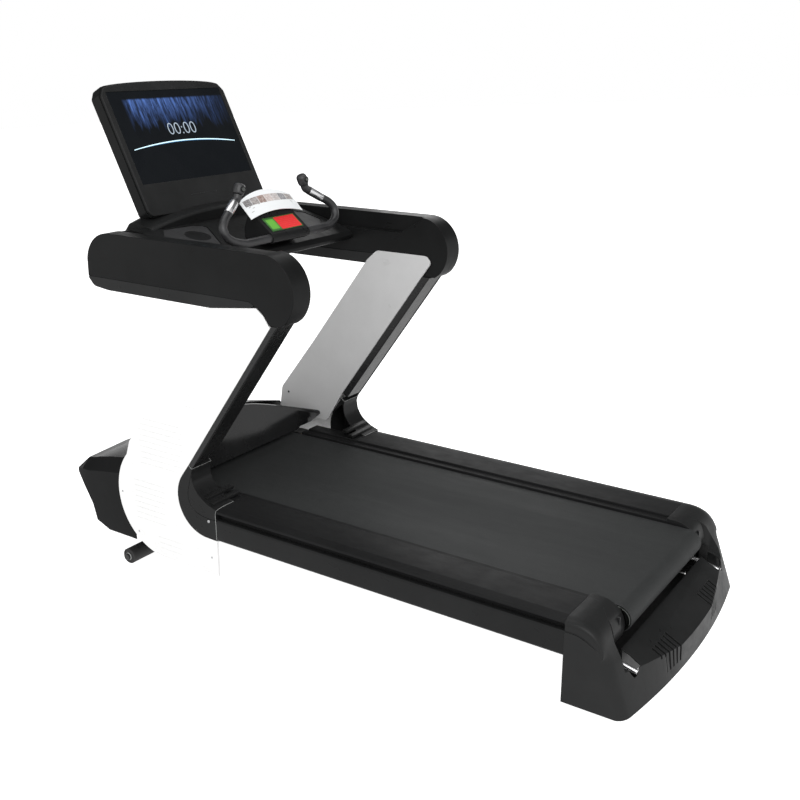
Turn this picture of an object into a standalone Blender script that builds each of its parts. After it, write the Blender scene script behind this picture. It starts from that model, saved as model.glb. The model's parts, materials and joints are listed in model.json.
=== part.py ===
"""A commercial treadmill: deck with running belt, slanted masts, console, handlebar and powered incline.

Everything is laid out level, in the deck's own frame: X to the runner's right, Y forwards to the
console, Z up, with the rear corners of the end cap at Y = 0 and its underside at Z = 0. The deck
frame hangs from one empty, which tips it up by the stored incline and sets it on its feet.
"""

import math

import bmesh
import bpy
from mathutils import Matrix, Vector

# ---- driving dimensions, metres ------------------------------------------------------------------
GRADE = math.radians(3.2)          # stored incline of the deck
WORLD_SHIFT_Y = -1.025             # puts the middle of the machine over the origin
DECK_LIFT = 0.0039                 # height of the deck frame's origin above the floor
GAP = 0.0004                       # clearance between touching pieces

HALF_WIDTH = 0.46                  # outer faces of rails, masts and arms
MAST_INNER = 0.3705                # inner faces of masts and lower corners
RAIL_INNER = 0.316                 # inner edge of the foot rails
GROOVE = 0.4388                    # seam between foot rail and side skirt
RAIL_TOP = 0.25
RAIL_BOTTOM = 0.14
CAP_FRONT = 0.175                  # front edge of the end cap
CORNER_REAR = 1.4105               # where rails end and the lower corners begin
WALL = 0.004                       # moulded wall

BELT_HALF = 0.285
BELT_THICK = 0.003
ROLLER_R = 0.0372
BELT_INSIDE = 0.0378               # inner radius of the belt round a roller
ROLLER_Z = 0.194
REAR_ROLLER_Y = 0.098
FRONT_ROLLER_Y = 1.735
SHAFT_R = 0.010
DRUM_HALF = 0.290                  # half the length of a roller's tube
DRUM_WEB = 0.012                   # half the thickness of the web inside it
BEAM_INNER, BEAM_OUTER = 0.318, 0.3695
BEAM_BOTTOM, BEAM_TOP = 0.165, 0.222
BEAM_END = 2.015
BEAM_WALL = 0.004
LEG_REAR = 0.125                   # rear face of the side beams and their foot legs
FOOT_Y = 0.140

MAST_ANGLE = math.radians(54.04)   # lean of the masts from horizontal
MAST_FOOT = (1.5033, 0.3728)       # lower end of a mast's rear face, as (y, z)
MAST_STRIP = 0.0175                # depth of the mast's outer strip
MAST_DEPTH = 0.028                 # depth of the mast behind the strip
CORNER_CENTRE = (1.452, 0.265)     # bend of the lower corner
CORNER_R = 0.123
ARM_TOP = 1.108
ARM_BOTTOM = 0.963
ARM_INNER = 0.38
ARM_RECESS = 0.40                  # inner wall above the arm's shelf
ARM_SHELF = 1.045
KNUCKLE_CENTRE = (1.171, 0.994)    # bend at the rear of the arm
KNUCKLE_R = 0.115

LIFT_PIVOT = (1.50, 0.03)          # incline hinge, as (y, z)
WHEEL_Y = 1.92
WHEEL_R = 0.027
HORN_R = 0.09                      # lever arm of the incline actuator
HORN_LEAN = math.radians(5.35)     # halves the horn's swing about upright
HORN_SWING = math.radians(19.65)
MOTOR_SHELF = 0.056                # underside of the shelf the motor stands on

SCREEN_ORIGIN = (0.0, 1.837, 1.24)
SCREEN_TILT = math.radians(90 - 26.5)
BAR_R = 0.0155                     # handlebar
BAR_Y, BAR_Z = 1.45, 1.077
KEY_ORIGIN = (0.0, 1.4706, 1.1139)
KEY_TILT = math.radians(38.2)
BOARD_TILT = math.radians(45.0)
MOTOR_Y, MOTOR_Z = 1.885, 0.122
MOTOR_PULLEY_R, ROLLER_PULLEY_R = 0.017, 0.034
DRIVE_BELT_X = (0.297, 0.309)

ALONG_X = Matrix(((0, 0, 1, 0), (1, 0, 0, 0), (0, 1, 0, 0), (0, 0, 0, 1)))
SIDES = (("left", -1), ("right", 1))


# ---- scene ---------------------------------------------------------------------------------------
def clear_scene():
    for obj in list(bpy.data.objects):
        bpy.data.objects.remove(obj, do_unlink=True)


def new_collection(name):
    made = bpy.data.collections.new(name)
    bpy.context.scene.collection.children.link(made)
    return made


def material(name, colour, roughness, metallic=0.0):
    made = bpy.data.materials.new(name)
    made.use_nodes = True
    shader = made.node_tree.nodes["Principled BSDF"]
    shader.inputs["Base Color"].default_value = (*colour, 1)
    shader.inputs["Roughness"].default_value = roughness
    shader.inputs["Metallic"].default_value = metallic
    return made


clear_scene()
PARTS = new_collection("treadmill")
CUTTERS = new_collection("treadmill_cutters")
CUTTERS.hide_render = True
DECK = bpy.data.objects.new("deck_level", None)
PARTS.objects.link(DECK)
DECK.location = (0, WORLD_SHIFT_Y, DECK_LIFT)
DECK.rotation_euler = (GRADE, 0, 0)

FINISHES = {
    "satin_black": ((0.012, 0.012, 0.013), 0.38, 0),
    "gloss_black": ((0.006, 0.006, 0.007), 0.12, 0),
    "frame_black": ((0.02, 0.02, 0.022), 0.45, 0.2),
    "belt_rubber": ((0.02, 0.021, 0.022), 0.75, 0),
    "panel_white": ((0.83, 0.83, 0.82), 0.35, 0),
    "steel": ((0.6, 0.6, 0.61), 0.28, 1),
    "board_wood": ((0.12, 0.07, 0.04), 0.6, 0),
    "rubber": ((0.015, 0.015, 0.015), 0.85, 0),
    "screen": ((0.004, 0.006, 0.012), 0.06, 0),
    "start_green": ((0.07, 0.33, 0.05), 0.45, 0),
    "stop_red": ((0.68, 0.04, 0.05), 0.45, 0),
    "sheet_white": ((0.8, 0.81, 0.83), 0.3, 0),
    "motor_grey": ((0.2, 0.2, 0.21), 0.5, 0.4),
}


# ---- building blocks -----------------------------------------------------------------------------
def shade(mesh):
    mesh.shade_smooth()
    mesh.set_sharp_from_angle(angle=math.radians(35))


def place(name, mesh, finish, at=(0, 0, 0), turn=(0, 0, 0), bevel=0.0, parent=None):
    """Makes the named part from a mesh, in the deck frame, with its own material."""
    shade(mesh)
    obj = bpy.data.objects.new(name, mesh)
    PARTS.objects.link(obj)
    obj.parent = parent or DECK
    obj.location = at
    obj.rotation_euler = turn
    mesh.materials.clear()
    mesh.materials.append(material(name, *FINISHES[finish]))
    if bevel:
        rounding = obj.modifiers.new("rounded edges", "BEVEL")
        rounding.width = bevel
        rounding.segments = 2
        rounding.limit_method = "ANGLE"
        rounding.angle_limit = math.radians(50)
    return obj


def helper(mesh, at=(0, 0, 0), turn=(0, 0, 0)):
    """A hidden solid that others are cut by or joined with."""
    obj = bpy.data.objects.new("helper", mesh)
    CUTTERS.objects.link(obj)
    obj.parent = DECK
    obj.location = at
    obj.rotation_euler = turn
    obj.hide_render = True
    obj.display_type = "WIRE"
    return obj


def combine(obj, other, operation):
    boolean = obj.modifiers.new(operation.lower(), "BOOLEAN")
    boolean.operation = operation
    boolean.object = other
    boolean.solver = "EXACT"
    return obj


def cut(obj, mesh, at=(0, 0, 0), turn=(0, 0, 0)):
    return combine(obj, helper(mesh, at, turn), "DIFFERENCE")


def join(obj, mesh, at=(0, 0, 0), turn=(0, 0, 0)):
    return combine(obj, helper(mesh, at, turn), "UNION")


def mesh_from(form, name="form"):
    bmesh.ops.recalc_face_normals(form, faces=form.faces)
    mesh = bpy.data.meshes.new(name)
    form.to_mesh(mesh)
    form.free()
    return mesh


def block(x, y, z):
    """A box mesh between pairs of limits, which may come in either order."""
    form = bmesh.new()
    bmesh.ops.create_cube(form, size=1)
    size = [abs(b - a) for a, b in (x, y, z)]
    middle = [(a + b) / 2 for a, b in (x, y, z)]
    bmesh.ops.scale(form, vec=size, verts=form.verts)
    bmesh.ops.translate(form, vec=middle, verts=form.verts)
    return mesh_from(form)


def rod(radius, length, axis="X", at=(0, 0, 0), segments=24):
    """A cylinder mesh centred on a point."""
    form = bmesh.new()
    bmesh.ops.create_cone(form, cap_ends=True, segments=segments, radius1=radius, radius2=radius,
                          depth=length)
    turns = {"X": Matrix.Rotation(math.pi / 2, 4, "Y"), "Y": Matrix.Rotation(-math.pi / 2, 4, "X"),
             "Z": Matrix.Identity(4)}
    bmesh.ops.transform(form, matrix=Matrix.Translation(at) @ turns[axis], verts=form.verts)
    return mesh_from(form)


def slab(loops, low, high, across=ALONG_X):
    """A flat outline, with any holes as further loops, given thickness from low to high."""
    curve = bpy.data.curves.new("outline", "CURVE")
    curve.dimensions = "2D"
    curve.fill_mode = "BOTH"
    curve.extrude = abs(high - low) / 2
    for loop in loops:
        spline = curve.splines.new("POLY")
        spline.points.add(len(loop) - 1)
        spline.use_cyclic_u = True
        for point, (u, v) in zip(spline.points, loop):
            point.co = (u, v, 0, 1)
    carrier = bpy.data.objects.new("outline", curve)
    bpy.context.scene.collection.objects.link(carrier)
    graph = bpy.context.evaluated_depsgraph_get()
    filled = bpy.data.meshes.new_from_object(carrier.evaluated_get(graph))
    bpy.data.objects.remove(carrier, do_unlink=True)
    form = bmesh.new()
    form.from_mesh(filled)
    bpy.data.meshes.remove(filled)
    bmesh.ops.remove_doubles(form, verts=form.verts, dist=1e-5)
    shift = Matrix.Translation((0, 0, (low + high) / 2))
    bmesh.ops.transform(form, matrix=across @ shift, verts=form.verts)
    return mesh_from(form)


def loft(rings):
    """A solid through rings that all have the same number of points."""
    form = bmesh.new()
    rows = [[form.verts.new(point) for point in ring] for ring in rings]
    for row, following in zip(rows, rows[1:]):
        for k in range(len(row)):
            n = (k + 1) % len(row)
            form.faces.new((row[k], row[n], following[n], following[k]))
    form.faces.new(rows[0])
    form.faces.new(rows[-1])
    return mesh_from(form)


def tube(points, radius, sides=3):
    """A round bar along smooth points, as one closed mesh."""
    curve = bpy.data.curves.new("bar", "CURVE")
    curve.dimensions = "3D"
    curve.bevel_depth = radius
    curve.bevel_resolution = sides
    curve.use_fill_caps = True
    spline = curve.splines.new("POLY")
    spline.points.add(len(points) - 1)
    for point, place_at in zip(spline.points, points):
        point.co = (*place_at, 1)
    carrier = bpy.data.objects.new("bar", curve)
    bpy.context.scene.collection.objects.link(carrier)
    graph = bpy.context.evaluated_depsgraph_get()
    made = bpy.data.meshes.new_from_object(carrier.evaluated_get(graph))
    bpy.data.objects.remove(carrier, do_unlink=True)
    form = bmesh.new()
    form.from_mesh(made)
    bmesh.ops.remove_doubles(form, verts=form.verts, dist=1e-5)
    return mesh_from(form)


def arc(centre, radius, start, end, steps):
    """Points round a centre, with angles in degrees."""
    angles = [math.radians(start + (end - start) * k / steps) for k in range(steps + 1)]
    return [(centre[0] + radius * math.cos(a), centre[1] + radius * math.sin(a)) for a in angles]


def up_mast(distance, depth):
    """The (y, z) point that far up a mast from its foot, and that deep behind its rear face."""
    lean = (-math.cos(MAST_ANGLE), math.sin(MAST_ANGLE))
    ahead = (math.sin(MAST_ANGLE), math.cos(MAST_ANGLE))
    return tuple(MAST_FOOT[k] + distance * lean[k] + depth * ahead[k] for k in (0, 1))


def mast_at(height, depth):
    """The (y, z) point of a mast at that height, and that deep behind its rear face."""
    start = up_mast(0, depth)
    return up_mast((height - start[1]) / math.sin(MAST_ANGLE), depth)


def span(side, inner, outer):
    """Limits across X on one side of the machine, low to high."""
    return tuple(sorted((side * inner, side * outer)))


# ---- chassis -------------------------------------------------------------------------------------
def side_beams():
    """Square-tube side beams, with a roller web and a foot leg at the rear."""
    for name, side in SIDES:
        beam = place(f"side_beam_{name}", block(span(side, BEAM_INNER, BEAM_OUTER),
                     (LEG_REAR, BEAM_END), (BEAM_BOTTOM, BEAM_TOP)), "frame_black")
        join(beam, block(span(side, BEAM_INNER, BEAM_INNER + 0.006), (0.076, LEG_REAR + 0.01),
                         (BEAM_BOTTOM + 0.002, BEAM_TOP - 0.002)))
        join(beam, block(span(side, 0.330, BEAM_OUTER - 0.002), (LEG_REAR, LEG_REAR + 0.03),
                         (0.0055, BEAM_BOTTOM + 0.01)))
        cut(beam, block(span(side, BEAM_INNER + BEAM_WALL, BEAM_OUTER - BEAM_WALL),
                        (LEG_REAR + BEAM_WALL, BEAM_END + 0.01),
                        (BEAM_BOTTOM + BEAM_WALL, BEAM_TOP - BEAM_WALL)))
        for y in (REAR_ROLLER_Y, FRONT_ROLLER_Y):
            cut(beam, rod(SHAFT_R + GAP, 0.2, at=(side * 0.34, y, ROLLER_Z), segments=16))


def crossmembers():
    for name, y in (("rear", 0.30), ("middle", 0.85), ("front", 1.40)):
        inner = BEAM_INNER - GAP
        place(f"crossmember_{name}", block((-inner, inner), (y, y + 0.05), (0.167, 0.197)),
              "frame_black", bevel=0.003)


def cushions():
    """Rubber strips that carry the deck board on the crossmembers."""
    for name, side in SIDES:
        place(f"deck_cushion_{name}", block(span(side, 0.23, 0.27), (0.28, 1.47),
              (0.197 + GAP, 0.2065 - GAP)), "rubber")


def deck_board():
    place("deck_board", block((-0.30, 0.30), (0.165, 1.665), (0.2065, 0.2315)), "board_wood",
          bevel=0.002)


def front_beam():
    """Front crossbeam with the actuator's lug and the shelf for the motor and its controller."""
    inner = BEAM_INNER - GAP
    beam = place("front_beam", block((-inner, inner), (1.985, 2.012), (BEAM_BOTTOM, 0.205)),
                 "frame_black")
    for side in (-1, 1):
        join(beam, block(span(side, 0.024, 0.030), (1.948, 1.99), (0.10, 0.19)))
    join(beam, block((-inner, inner), (1.82, 2.012), (MOTOR_SHELF, MOTOR_SHELF + 0.006)))
    join(beam, block((-inner, inner), (2.006, 2.012), (MOTOR_SHELF, 0.17)))


def lift_bracket():
    """Crossbar below the deck that carries the incline hinge."""
    bar = place("lift_bracket", block((-BEAM_OUTER, BEAM_OUTER), (1.36, 1.39), (0.118, 0.146)),
                "frame_black")
    y, z = LIFT_PIVOT
    lug = [(1.36, 0.146), (1.39, 0.146), (y + 0.018, z + 0.015), (y + 0.018, z - 0.015),
           (y - 0.018, z - 0.015), (1.36, 0.11)]
    for side in (-1, 1):
        join(bar, block(span(side, 0.33, 0.366), (1.36, 1.39), (0.14, BEAM_BOTTOM - GAP)))
        join(bar, slab([lug], *span(side, 0.222, 0.230)))
        cut(bar, rod(0.008 + GAP, 0.04, at=(side * 0.226, y, z)))


def floor_height(y):
    """Deck-frame height of the floor below a point of the deck."""
    return -(DECK_LIFT + math.sin(GRADE) * y) / math.cos(GRADE)


def feet():
    """Rubber feet under the side beams' legs, square to the floor."""
    for name, side in SIDES:
        on_floor = (side * 0.349, FOOT_Y, floor_height(FOOT_Y))
        pad = place(f"rear_foot_{name}", rod(0.022, 0.0105, "Z", at=(0, 0, 0.00525)), "rubber",
                    at=on_floor, turn=(-GRADE, 0, 0))
        join(pad, rod(0.010, 0.012, "Z", at=(0, 0, 0.0105), segments=16), at=on_floor,
             turn=(-GRADE, 0, 0))


# ---- rollers, belt and drive ---------------------------------------------------------------------
def roller(name, y, pulley):
    """A tube on a through shaft, with a web inside; the driven one carries the drive pulley."""
    drum = place(name, rod(ROLLER_R, 2 * DRUM_HALF), "steel", at=(0, y, ROLLER_Z))
    for side in (-1, 1):
        middle = side * (DRUM_HALF + DRUM_WEB) / 2
        cut(drum, rod(ROLLER_R - 0.005, DRUM_HALF - DRUM_WEB), at=(middle, y, ROLLER_Z))
    join(drum, rod(SHAFT_R, 2 * 0.335, segments=16), at=(0, y, ROLLER_Z))
    if pulley:
        join(drum, rod(ROLLER_PULLEY_R, 0.02, at=(0.303, 0, 0)), at=(0, y, ROLLER_Z))


def running_belt():
    loops = []
    for radius in (BELT_INSIDE + BELT_THICK, BELT_INSIDE):
        loops.append(arc((REAR_ROLLER_Y, ROLLER_Z), radius, 90, 270, 12)
                     + arc((FRONT_ROLLER_Y, ROLLER_Z), radius, -90, 90, 12))
    place("running_belt", slab(loops, -BELT_HALF, BELT_HALF), "belt_rubber")


def tension_bolts():
    """Adjusters that pull the rear roller back, one in each pocket of the end cap."""
    for name, side in SIDES:
        bolt = place(f"tension_bolt_{name}", rod(0.0085, 0.096, "Y", segments=16), "steel",
                     at=(side * 0.348, 0.0745, 0.126), turn=(math.radians(10), 0, 0))
        join(bolt, rod(0.0125, 0.016, "Y", at=(0, -0.052, 0), segments=6),
             at=(side * 0.348, 0.0745, 0.126), turn=(math.radians(10), 0, 0))


def drive():
    """Motor, its pulley and the ribbed belt to the front roller."""
    motor = place("drive_motor", rod(0.050, 0.20, segments=32), "motor_grey",
                  at=(0.175, MOTOR_Y, MOTOR_Z))
    join(motor, block((0.10, 0.25), (MOTOR_Y - 0.04, MOTOR_Y + 0.04),
                      (MOTOR_SHELF + 0.006 + GAP, MOTOR_Z - 0.025)))
    join(motor, rod(0.030, 0.012, at=(0.280, 0, 0)), at=(0, MOTOR_Y, MOTOR_Z))
    cut(motor, rod(0.0065 + GAP, 0.08, at=(0.285, 0, 0)), at=(0, MOTOR_Y, MOTOR_Z))
    pulley = place("motor_pulley", rod(MOTOR_PULLEY_R, 0.018, at=(0.303, 0, 0)), "steel",
                   at=(0, MOTOR_Y, MOTOR_Z))
    join(pulley, rod(0.0065, 0.065, at=(0.282, 0, 0)), at=(0, MOTOR_Y, MOTOR_Z))
    run = math.atan2(ROLLER_Z - MOTOR_Z, FRONT_ROLLER_Y - MOTOR_Y)
    reach = math.hypot(ROLLER_Z - MOTOR_Z, FRONT_ROLLER_Y - MOTOR_Y)
    wrap = math.degrees(math.acos((ROLLER_PULLEY_R - MOTOR_PULLEY_R) / reach))
    run = math.degrees(run)
    loops = []
    for grow in (0.0028, 0.0004):
        loops.append(arc((FRONT_ROLLER_Y, ROLLER_Z), ROLLER_PULLEY_R + grow,
                         run - 180 + wrap, run + 180 - wrap, 14)
                     + arc((MOTOR_Y, MOTOR_Z), MOTOR_PULLEY_R + grow,
                           run + 180 - wrap, run + 180 + wrap, 8))
    place("drive_belt", slab(loops, *DRIVE_BELT_X), "rubber")
    place("motor_controller", block((-0.30, -0.08), (1.85, 1.97),
          (MOTOR_SHELF + 0.006 + GAP, MOTOR_SHELF + 0.068)), "motor_grey", bevel=0.004)


# ---- powered incline -----------------------------------------------------------------------------
def wheel_height():
    """Deck-frame height of the wheels' axle that puts them on the floor at the stored incline."""
    return floor_height(WHEEL_Y) + WHEEL_R / math.cos(GRADE)


def lift_frame():
    y, z = LIFT_PIVOT
    wheel_z = wheel_height()
    pivot = (0, y, z)
    frame = place("lift_frame", rod(0.014, 2 * 0.2195, segments=16), "frame_black", at=pivot)
    join(frame, rod(0.008, 2 * 0.236, segments=16), at=pivot)
    reach = math.hypot(WHEEL_Y - y, wheel_z - z)
    slope = math.atan2(wheel_z - z, WHEEL_Y - y)
    for side in (-1, 1):
        arm = [(0, -0.014), (reach, -0.012), (reach + 0.012, 0), (reach, 0.012), (0, 0.014)]
        join(frame, slab([arm], *span(side, 0.195, 0.215)), at=pivot, turn=(slope, 0, 0))
        join(frame, rod(0.0125, 0.008, at=(side * 0.401, 0, 0), segments=16),
             at=(0, WHEEL_Y, wheel_z))
    join(frame, rod(0.008, 2 * 0.402, segments=16), at=(0, WHEEL_Y, wheel_z))
    join(frame, block((-0.2, 0.2), (reach - 0.10, reach - 0.07), (-0.011, 0.011)), at=pivot,
         turn=(slope, 0, 0))
    horn = [(-0.012, -0.005), (0.012, -0.005), (0.017, HORN_R), (0.009, HORN_R + 0.016),
            (-0.009, HORN_R + 0.016), (-0.017, HORN_R)]
    join(frame, slab([horn], -0.0175, 0.0175), at=pivot, turn=(HORN_LEAN, 0, 0))
    cut(frame, block((-0.0105, 0.0105), (-0.03, 0.03), (0.020, 0.15)), at=pivot,
        turn=(HORN_LEAN, 0, 0))
    cut(frame, rod(0.0095, 0.06, at=(0, 0, HORN_R), segments=16), at=pivot, turn=(HORN_LEAN, 0, 0))


def lift_wheels():
    """Wide rollers on the lift frame's axle."""
    wheel_z = wheel_height()
    for name, side in SIDES:
        wheel = place(f"lift_wheel_{name}", rod(WHEEL_R, 0.160), "rubber",
                      at=(side * 0.315, WHEEL_Y, wheel_z), bevel=0.002)
        cut(wheel, rod(0.008 + GAP, 0.2, segments=16), at=(side * 0.315, WHEEL_Y, wheel_z))


def lift_actuator():
    """Electric cylinder that pushes the lift frame's horn, at the mean height of the horn's hole."""
    y = LIFT_PIVOT[0] - HORN_R * math.sin(HORN_LEAN)
    z = LIFT_PIVOT[1] + HORN_R * (1 + math.cos(HORN_SWING)) / 2
    screw = place("lift_tube", rod(0.0105, 0.19, "Y", at=(0, 0.103, 0)), "steel", at=(0, y, z))
    join(screw, rod(0.013, 0.019), at=(0, y, z))
    join(screw, rod(0.0055, 0.042), at=(0, y, z))
    body = place("lift_actuator", rod(0.021, 0.26, "Y", at=(0, 1.74, z)), "motor_grey")
    join(body, block((-0.0235, 0.0235), (1.805, 1.93), (z - 0.035, z + 0.030)))
    join(body, block((-0.012, 0.012), (1.92, 1.97), (z - 0.012, z + 0.012)))
    join(body, rod(0.007, 0.047, at=(0, 1.962, z)))
    join(body, rod(0.020, 0.10, "Y", at=(0.0, 1.765, z - 0.045)))
    cut(body, rod(0.0105 + GAP, 0.17, "Y", at=(0, 1.685, z)))


# ---- rails and end cap ---------------------------------------------------------------------------
def foot_rails():
    """Top covers the runner steps onto, with a tongue that runs on under the hood."""
    deep = 0.17
    for name, side in SIDES:
        profile = [(RAIL_INNER, BEAM_TOP + GAP), (RAIL_INNER, RAIL_TOP), (0.425, 0.248),
                   (GROOVE - GAP, 0.243), (GROOVE - GAP, deep), (GROOVE - WALL, deep),
                   (GROOVE - WALL, 0.240), (0.424, 0.244), (RAIL_INNER + WALL, 0.246),
                   (RAIL_INNER + WALL, BEAM_TOP + GAP)]
        rings = [[(side * x, y, z) for x, z in profile] for y in (CAP_FRONT + GAP, CORNER_REAR - GAP)]
        rail = place(f"foot_rail_{name}", loft(rings), "satin_black")
        join(rail, block(span(side, RAIL_INNER, 0.366), (CORNER_REAR - 0.02, 1.64), (0.246, 0.2499)))
        join(rail, block(span(side, RAIL_INNER, RAIL_INNER + WALL), (CORNER_REAR - 0.02, 1.64),
                         (BEAM_TOP + GAP, 0.2499)))


def rail_skirts():
    """Side covers below the foot rails' groove."""
    for name, side in SIDES:
        profile = [(GROOVE, 0.228), (GROOVE, 0.231), (0.452, 0.231), (0.4575, 0.227),
                   (HALF_WIDTH, 0.219), (HALF_WIDTH, 0.146), (0.456, RAIL_BOTTOM),
                   (0.385, RAIL_BOTTOM), (0.385, RAIL_BOTTOM + WALL), (0.454, RAIL_BOTTOM + WALL),
                   (0.456, 0.150), (0.456, 0.217), (0.450, 0.227)]
        rings = [[(side * x, y, z) for x, z in profile] for y in (CAP_FRONT + GAP, CORNER_REAR - GAP)]
        place(f"rail_skirt_{name}", loft(rings), "satin_black")


def cap_section(x, inset=0.0):
    """Side outline of the end cap at that distance from the middle.

    Its rear face is bowed in plan, and leans forwards more and more towards the wings.
    """
    wing = min(1.0, max(0.0, (abs(x) - 0.13) / 0.31))
    corner = max(0.0, abs(x) - 0.43) / 0.03
    foot = -0.045 + 0.036 * (x / 0.43) ** 2 + 0.030 * corner ** 2
    knee = (foot + 0.004 + 0.050 * wing + inset, 0.083 + 0.067 * wing)
    top = [(0.150, 0.2499), (0.122, 0.2455), (0.096, 0.234), (0.076, 0.214), (0.062, 0.186)]
    drop = 0.012 * corner ** 2
    top = [(y + inset * 0.7 + 0.4 * drop, z - inset - drop) for y, z in top]
    front = CAP_FRONT + (0.05 if inset else 0)
    low = -0.05 if inset else 0.0
    ring = [(front, low), (front, 0.2499 - inset - drop)] + top
    ring += [(max(knee[0], -0.06), knee[1]), (foot + inset, low)]
    return [(x, y, z) for y, z in ring]


def cap_opening(margin=0.0):
    """Cutter for the space over the plate, open to the belt; it flares out between the wings."""
    half = RAIL_INNER + margin
    right = [(half, 0.30), (half, 0.135 + margin), (0.362 + margin, 0.100 + margin),
             (0.392 + margin, 0.062), (0.402 + margin, 0.010), (0.402 + margin, -0.12)]
    plan = right + [(-x, y) for x, y in reversed(right)]
    edge = 0.066 - margin
    over = [(0.31, -0.10), (edge, -0.10), (edge, 0.131 - margin), (0.062, 0.131 - margin),
            (-0.13, 0.0287 - margin), (-0.13, 0.31), (0.31, 0.31)]
    opening = helper(slab([plan], -0.12, 0.32, Matrix.Identity(4)))
    return combine(opening, helper(slab([over], -0.5, 0.5)), "INTERSECT")


def rear_cap():
    """Moulded end cap: two wings down to the floor and a louvred plate between them."""
    half = (0.0, 0.13, 0.20, 0.27, 0.34, 0.40, 0.43, 0.445, 0.455, HALF_WIDTH)
    stations = [-x for x in reversed(half[1:])] + list(half)
    inside = [x * (HALF_WIDTH - WALL) / HALF_WIDTH for x in stations]
    cap = place("rear_cap", loft([cap_section(x) for x in stations]), "satin_black")
    hollow = helper(loft([cap_section(x, WALL) for x in inside]))
    combine(hollow, cap_opening(WALL), "DIFFERENCE")
    combine(cap, cap_opening(), "DIFFERENCE")
    combine(cap, hollow, "DIFFERENCE")
    # Louvres wrap over the ridge, and a half-round pocket gives access to each tension bolt.
    for side in (-1, 1):
        cut(cap, rod(0.033, 0.12, "Z", at=(side * 0.356, 0.039, 0.12)))
        cut(cap, block(span(side, 0.3172, 0.372), (0.07, 0.20), (0.10, BEAM_TOP + 0.001)))
        cut(cap, block(span(side, 0.3172, 0.376), (LEG_REAR - 0.01, 0.20), (-0.02, 0.12)))
        for k in range(6):
            x = side * (0.135 + 0.020 * k)
            line = [(0.012, 0.13), (0.012, 0.098), (-0.022, 0.078), (-0.030, 0.032),
                    (-0.090, 0.032), (-0.090, 0.13)]
            cut(cap, slab([line], x - 0.004, x + 0.004))


# ---- masts, corners and side panels --------------------------------------------------------------
def lower_corners():
    """Curved covers where the rails turn up into the masts."""
    outer = [(CORNER_REAR, RAIL_BOTTOM + GAP)] + arc(CORNER_CENTRE, CORNER_R, -90, 36, 10)
    inner = [up_mast(0, 0), (1.5085, 0.350), (1.5035, 0.318), (1.483, 0.288), (1.452, 0.266),
             (CORNER_REAR, RAIL_TOP)]
    top = [up_mast(0, MAST_STRIP)]
    outline = outer + top + inner
    hollow = (arc(CORNER_CENTRE, CORNER_R - WALL, -95, 30, 10)
              + [(1.515, 0.36), (1.5135, 0.350), (1.508, 0.316), (1.486, 0.283), (1.452, 0.261),
                 (1.43, 0.250)])
    for name, side in SIDES:
        corner = place(f"lower_corner_{name}", slab([outline], *span(side, MAST_INNER, HALF_WIDTH)),
                       "satin_black", bevel=0.002)
        cut(corner, slab([hollow], *span(side, MAST_INNER - 0.01, HALF_WIDTH - WALL)))


def masts():
    """Slanted uprights: a thin strip outside and a deeper core inside."""
    low, top = 0.0005, ARM_BOTTOM - 0.0635
    for name, side in SIDES:
        strip = [up_mast(low, 0), up_mast(low, MAST_STRIP), mast_at(top, MAST_STRIP), mast_at(top, 0)]
        core = [up_mast(low + 0.02, 0), up_mast(low + 0.02, MAST_DEPTH), mast_at(top, MAST_DEPTH),
                mast_at(top, 0)]
        mast = place(f"mast_{name}", slab([strip], *span(side, MAST_INNER, HALF_WIDTH)),
                     "satin_black")
        join(mast, slab([core], *span(side, MAST_INNER, 0.451)))


def side_panels():
    """White panels ahead of the masts: an outer skin down to the floor line, a shorter inner skin,
    and a flank that closes them towards the front."""
    nudge = MAST_STRIP + GAP
    outer = ([up_mast(0.0, nudge), mast_at(0.893, nudge), (1.153, 0.899), (1.173, 0.927),
              (1.198, 0.9460), (1.400, 0.9210), (1.790, 0.410)]
             + arc((1.654, 0.220), 0.208, 42, -90, 16) + [(CORNER_REAR, 0.012),
             (CORNER_REAR, RAIL_BOTTOM - GAP)]
             + arc(CORNER_CENTRE, CORNER_R + 0.0009, -90, 36, 10))
    deep = MAST_DEPTH + GAP
    inner = [up_mast(0.012, deep), mast_at(0.945, deep), (1.122, 0.967), (1.142, 0.975),
             (1.336, 0.975), (1.362, 0.965), (1.385, 0.945), (1.645, 0.600), (1.812, 0.386),
             (1.824, 0.350), (1.828, 0.310), (1.815, 0.276), (1.600, 0.276), (1.585, 0.290)]
    for name, side in SIDES:
        panel = place(f"side_panel_{name}", slab([outer], *span(side, 0.4525, HALF_WIDTH)),
                      "panel_white")
        join(panel, slab([inner], *span(side, 0.372, 0.3793)))
        ends = []
        for x, top, bottom in ((HALF_WIDTH - 0.001, (1.399, 0.9205), (1.790, 0.410)),
                               (0.3725, (1.403, 0.9205), (1.811, 0.388))):
            ends.append([(side * x, *top), (side * x, *bottom),
                         (side * x, bottom[0] - 0.008, bottom[1]), (side * x, top[0] - 0.008, top[1])])
        join(panel, loft(ends))


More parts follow.
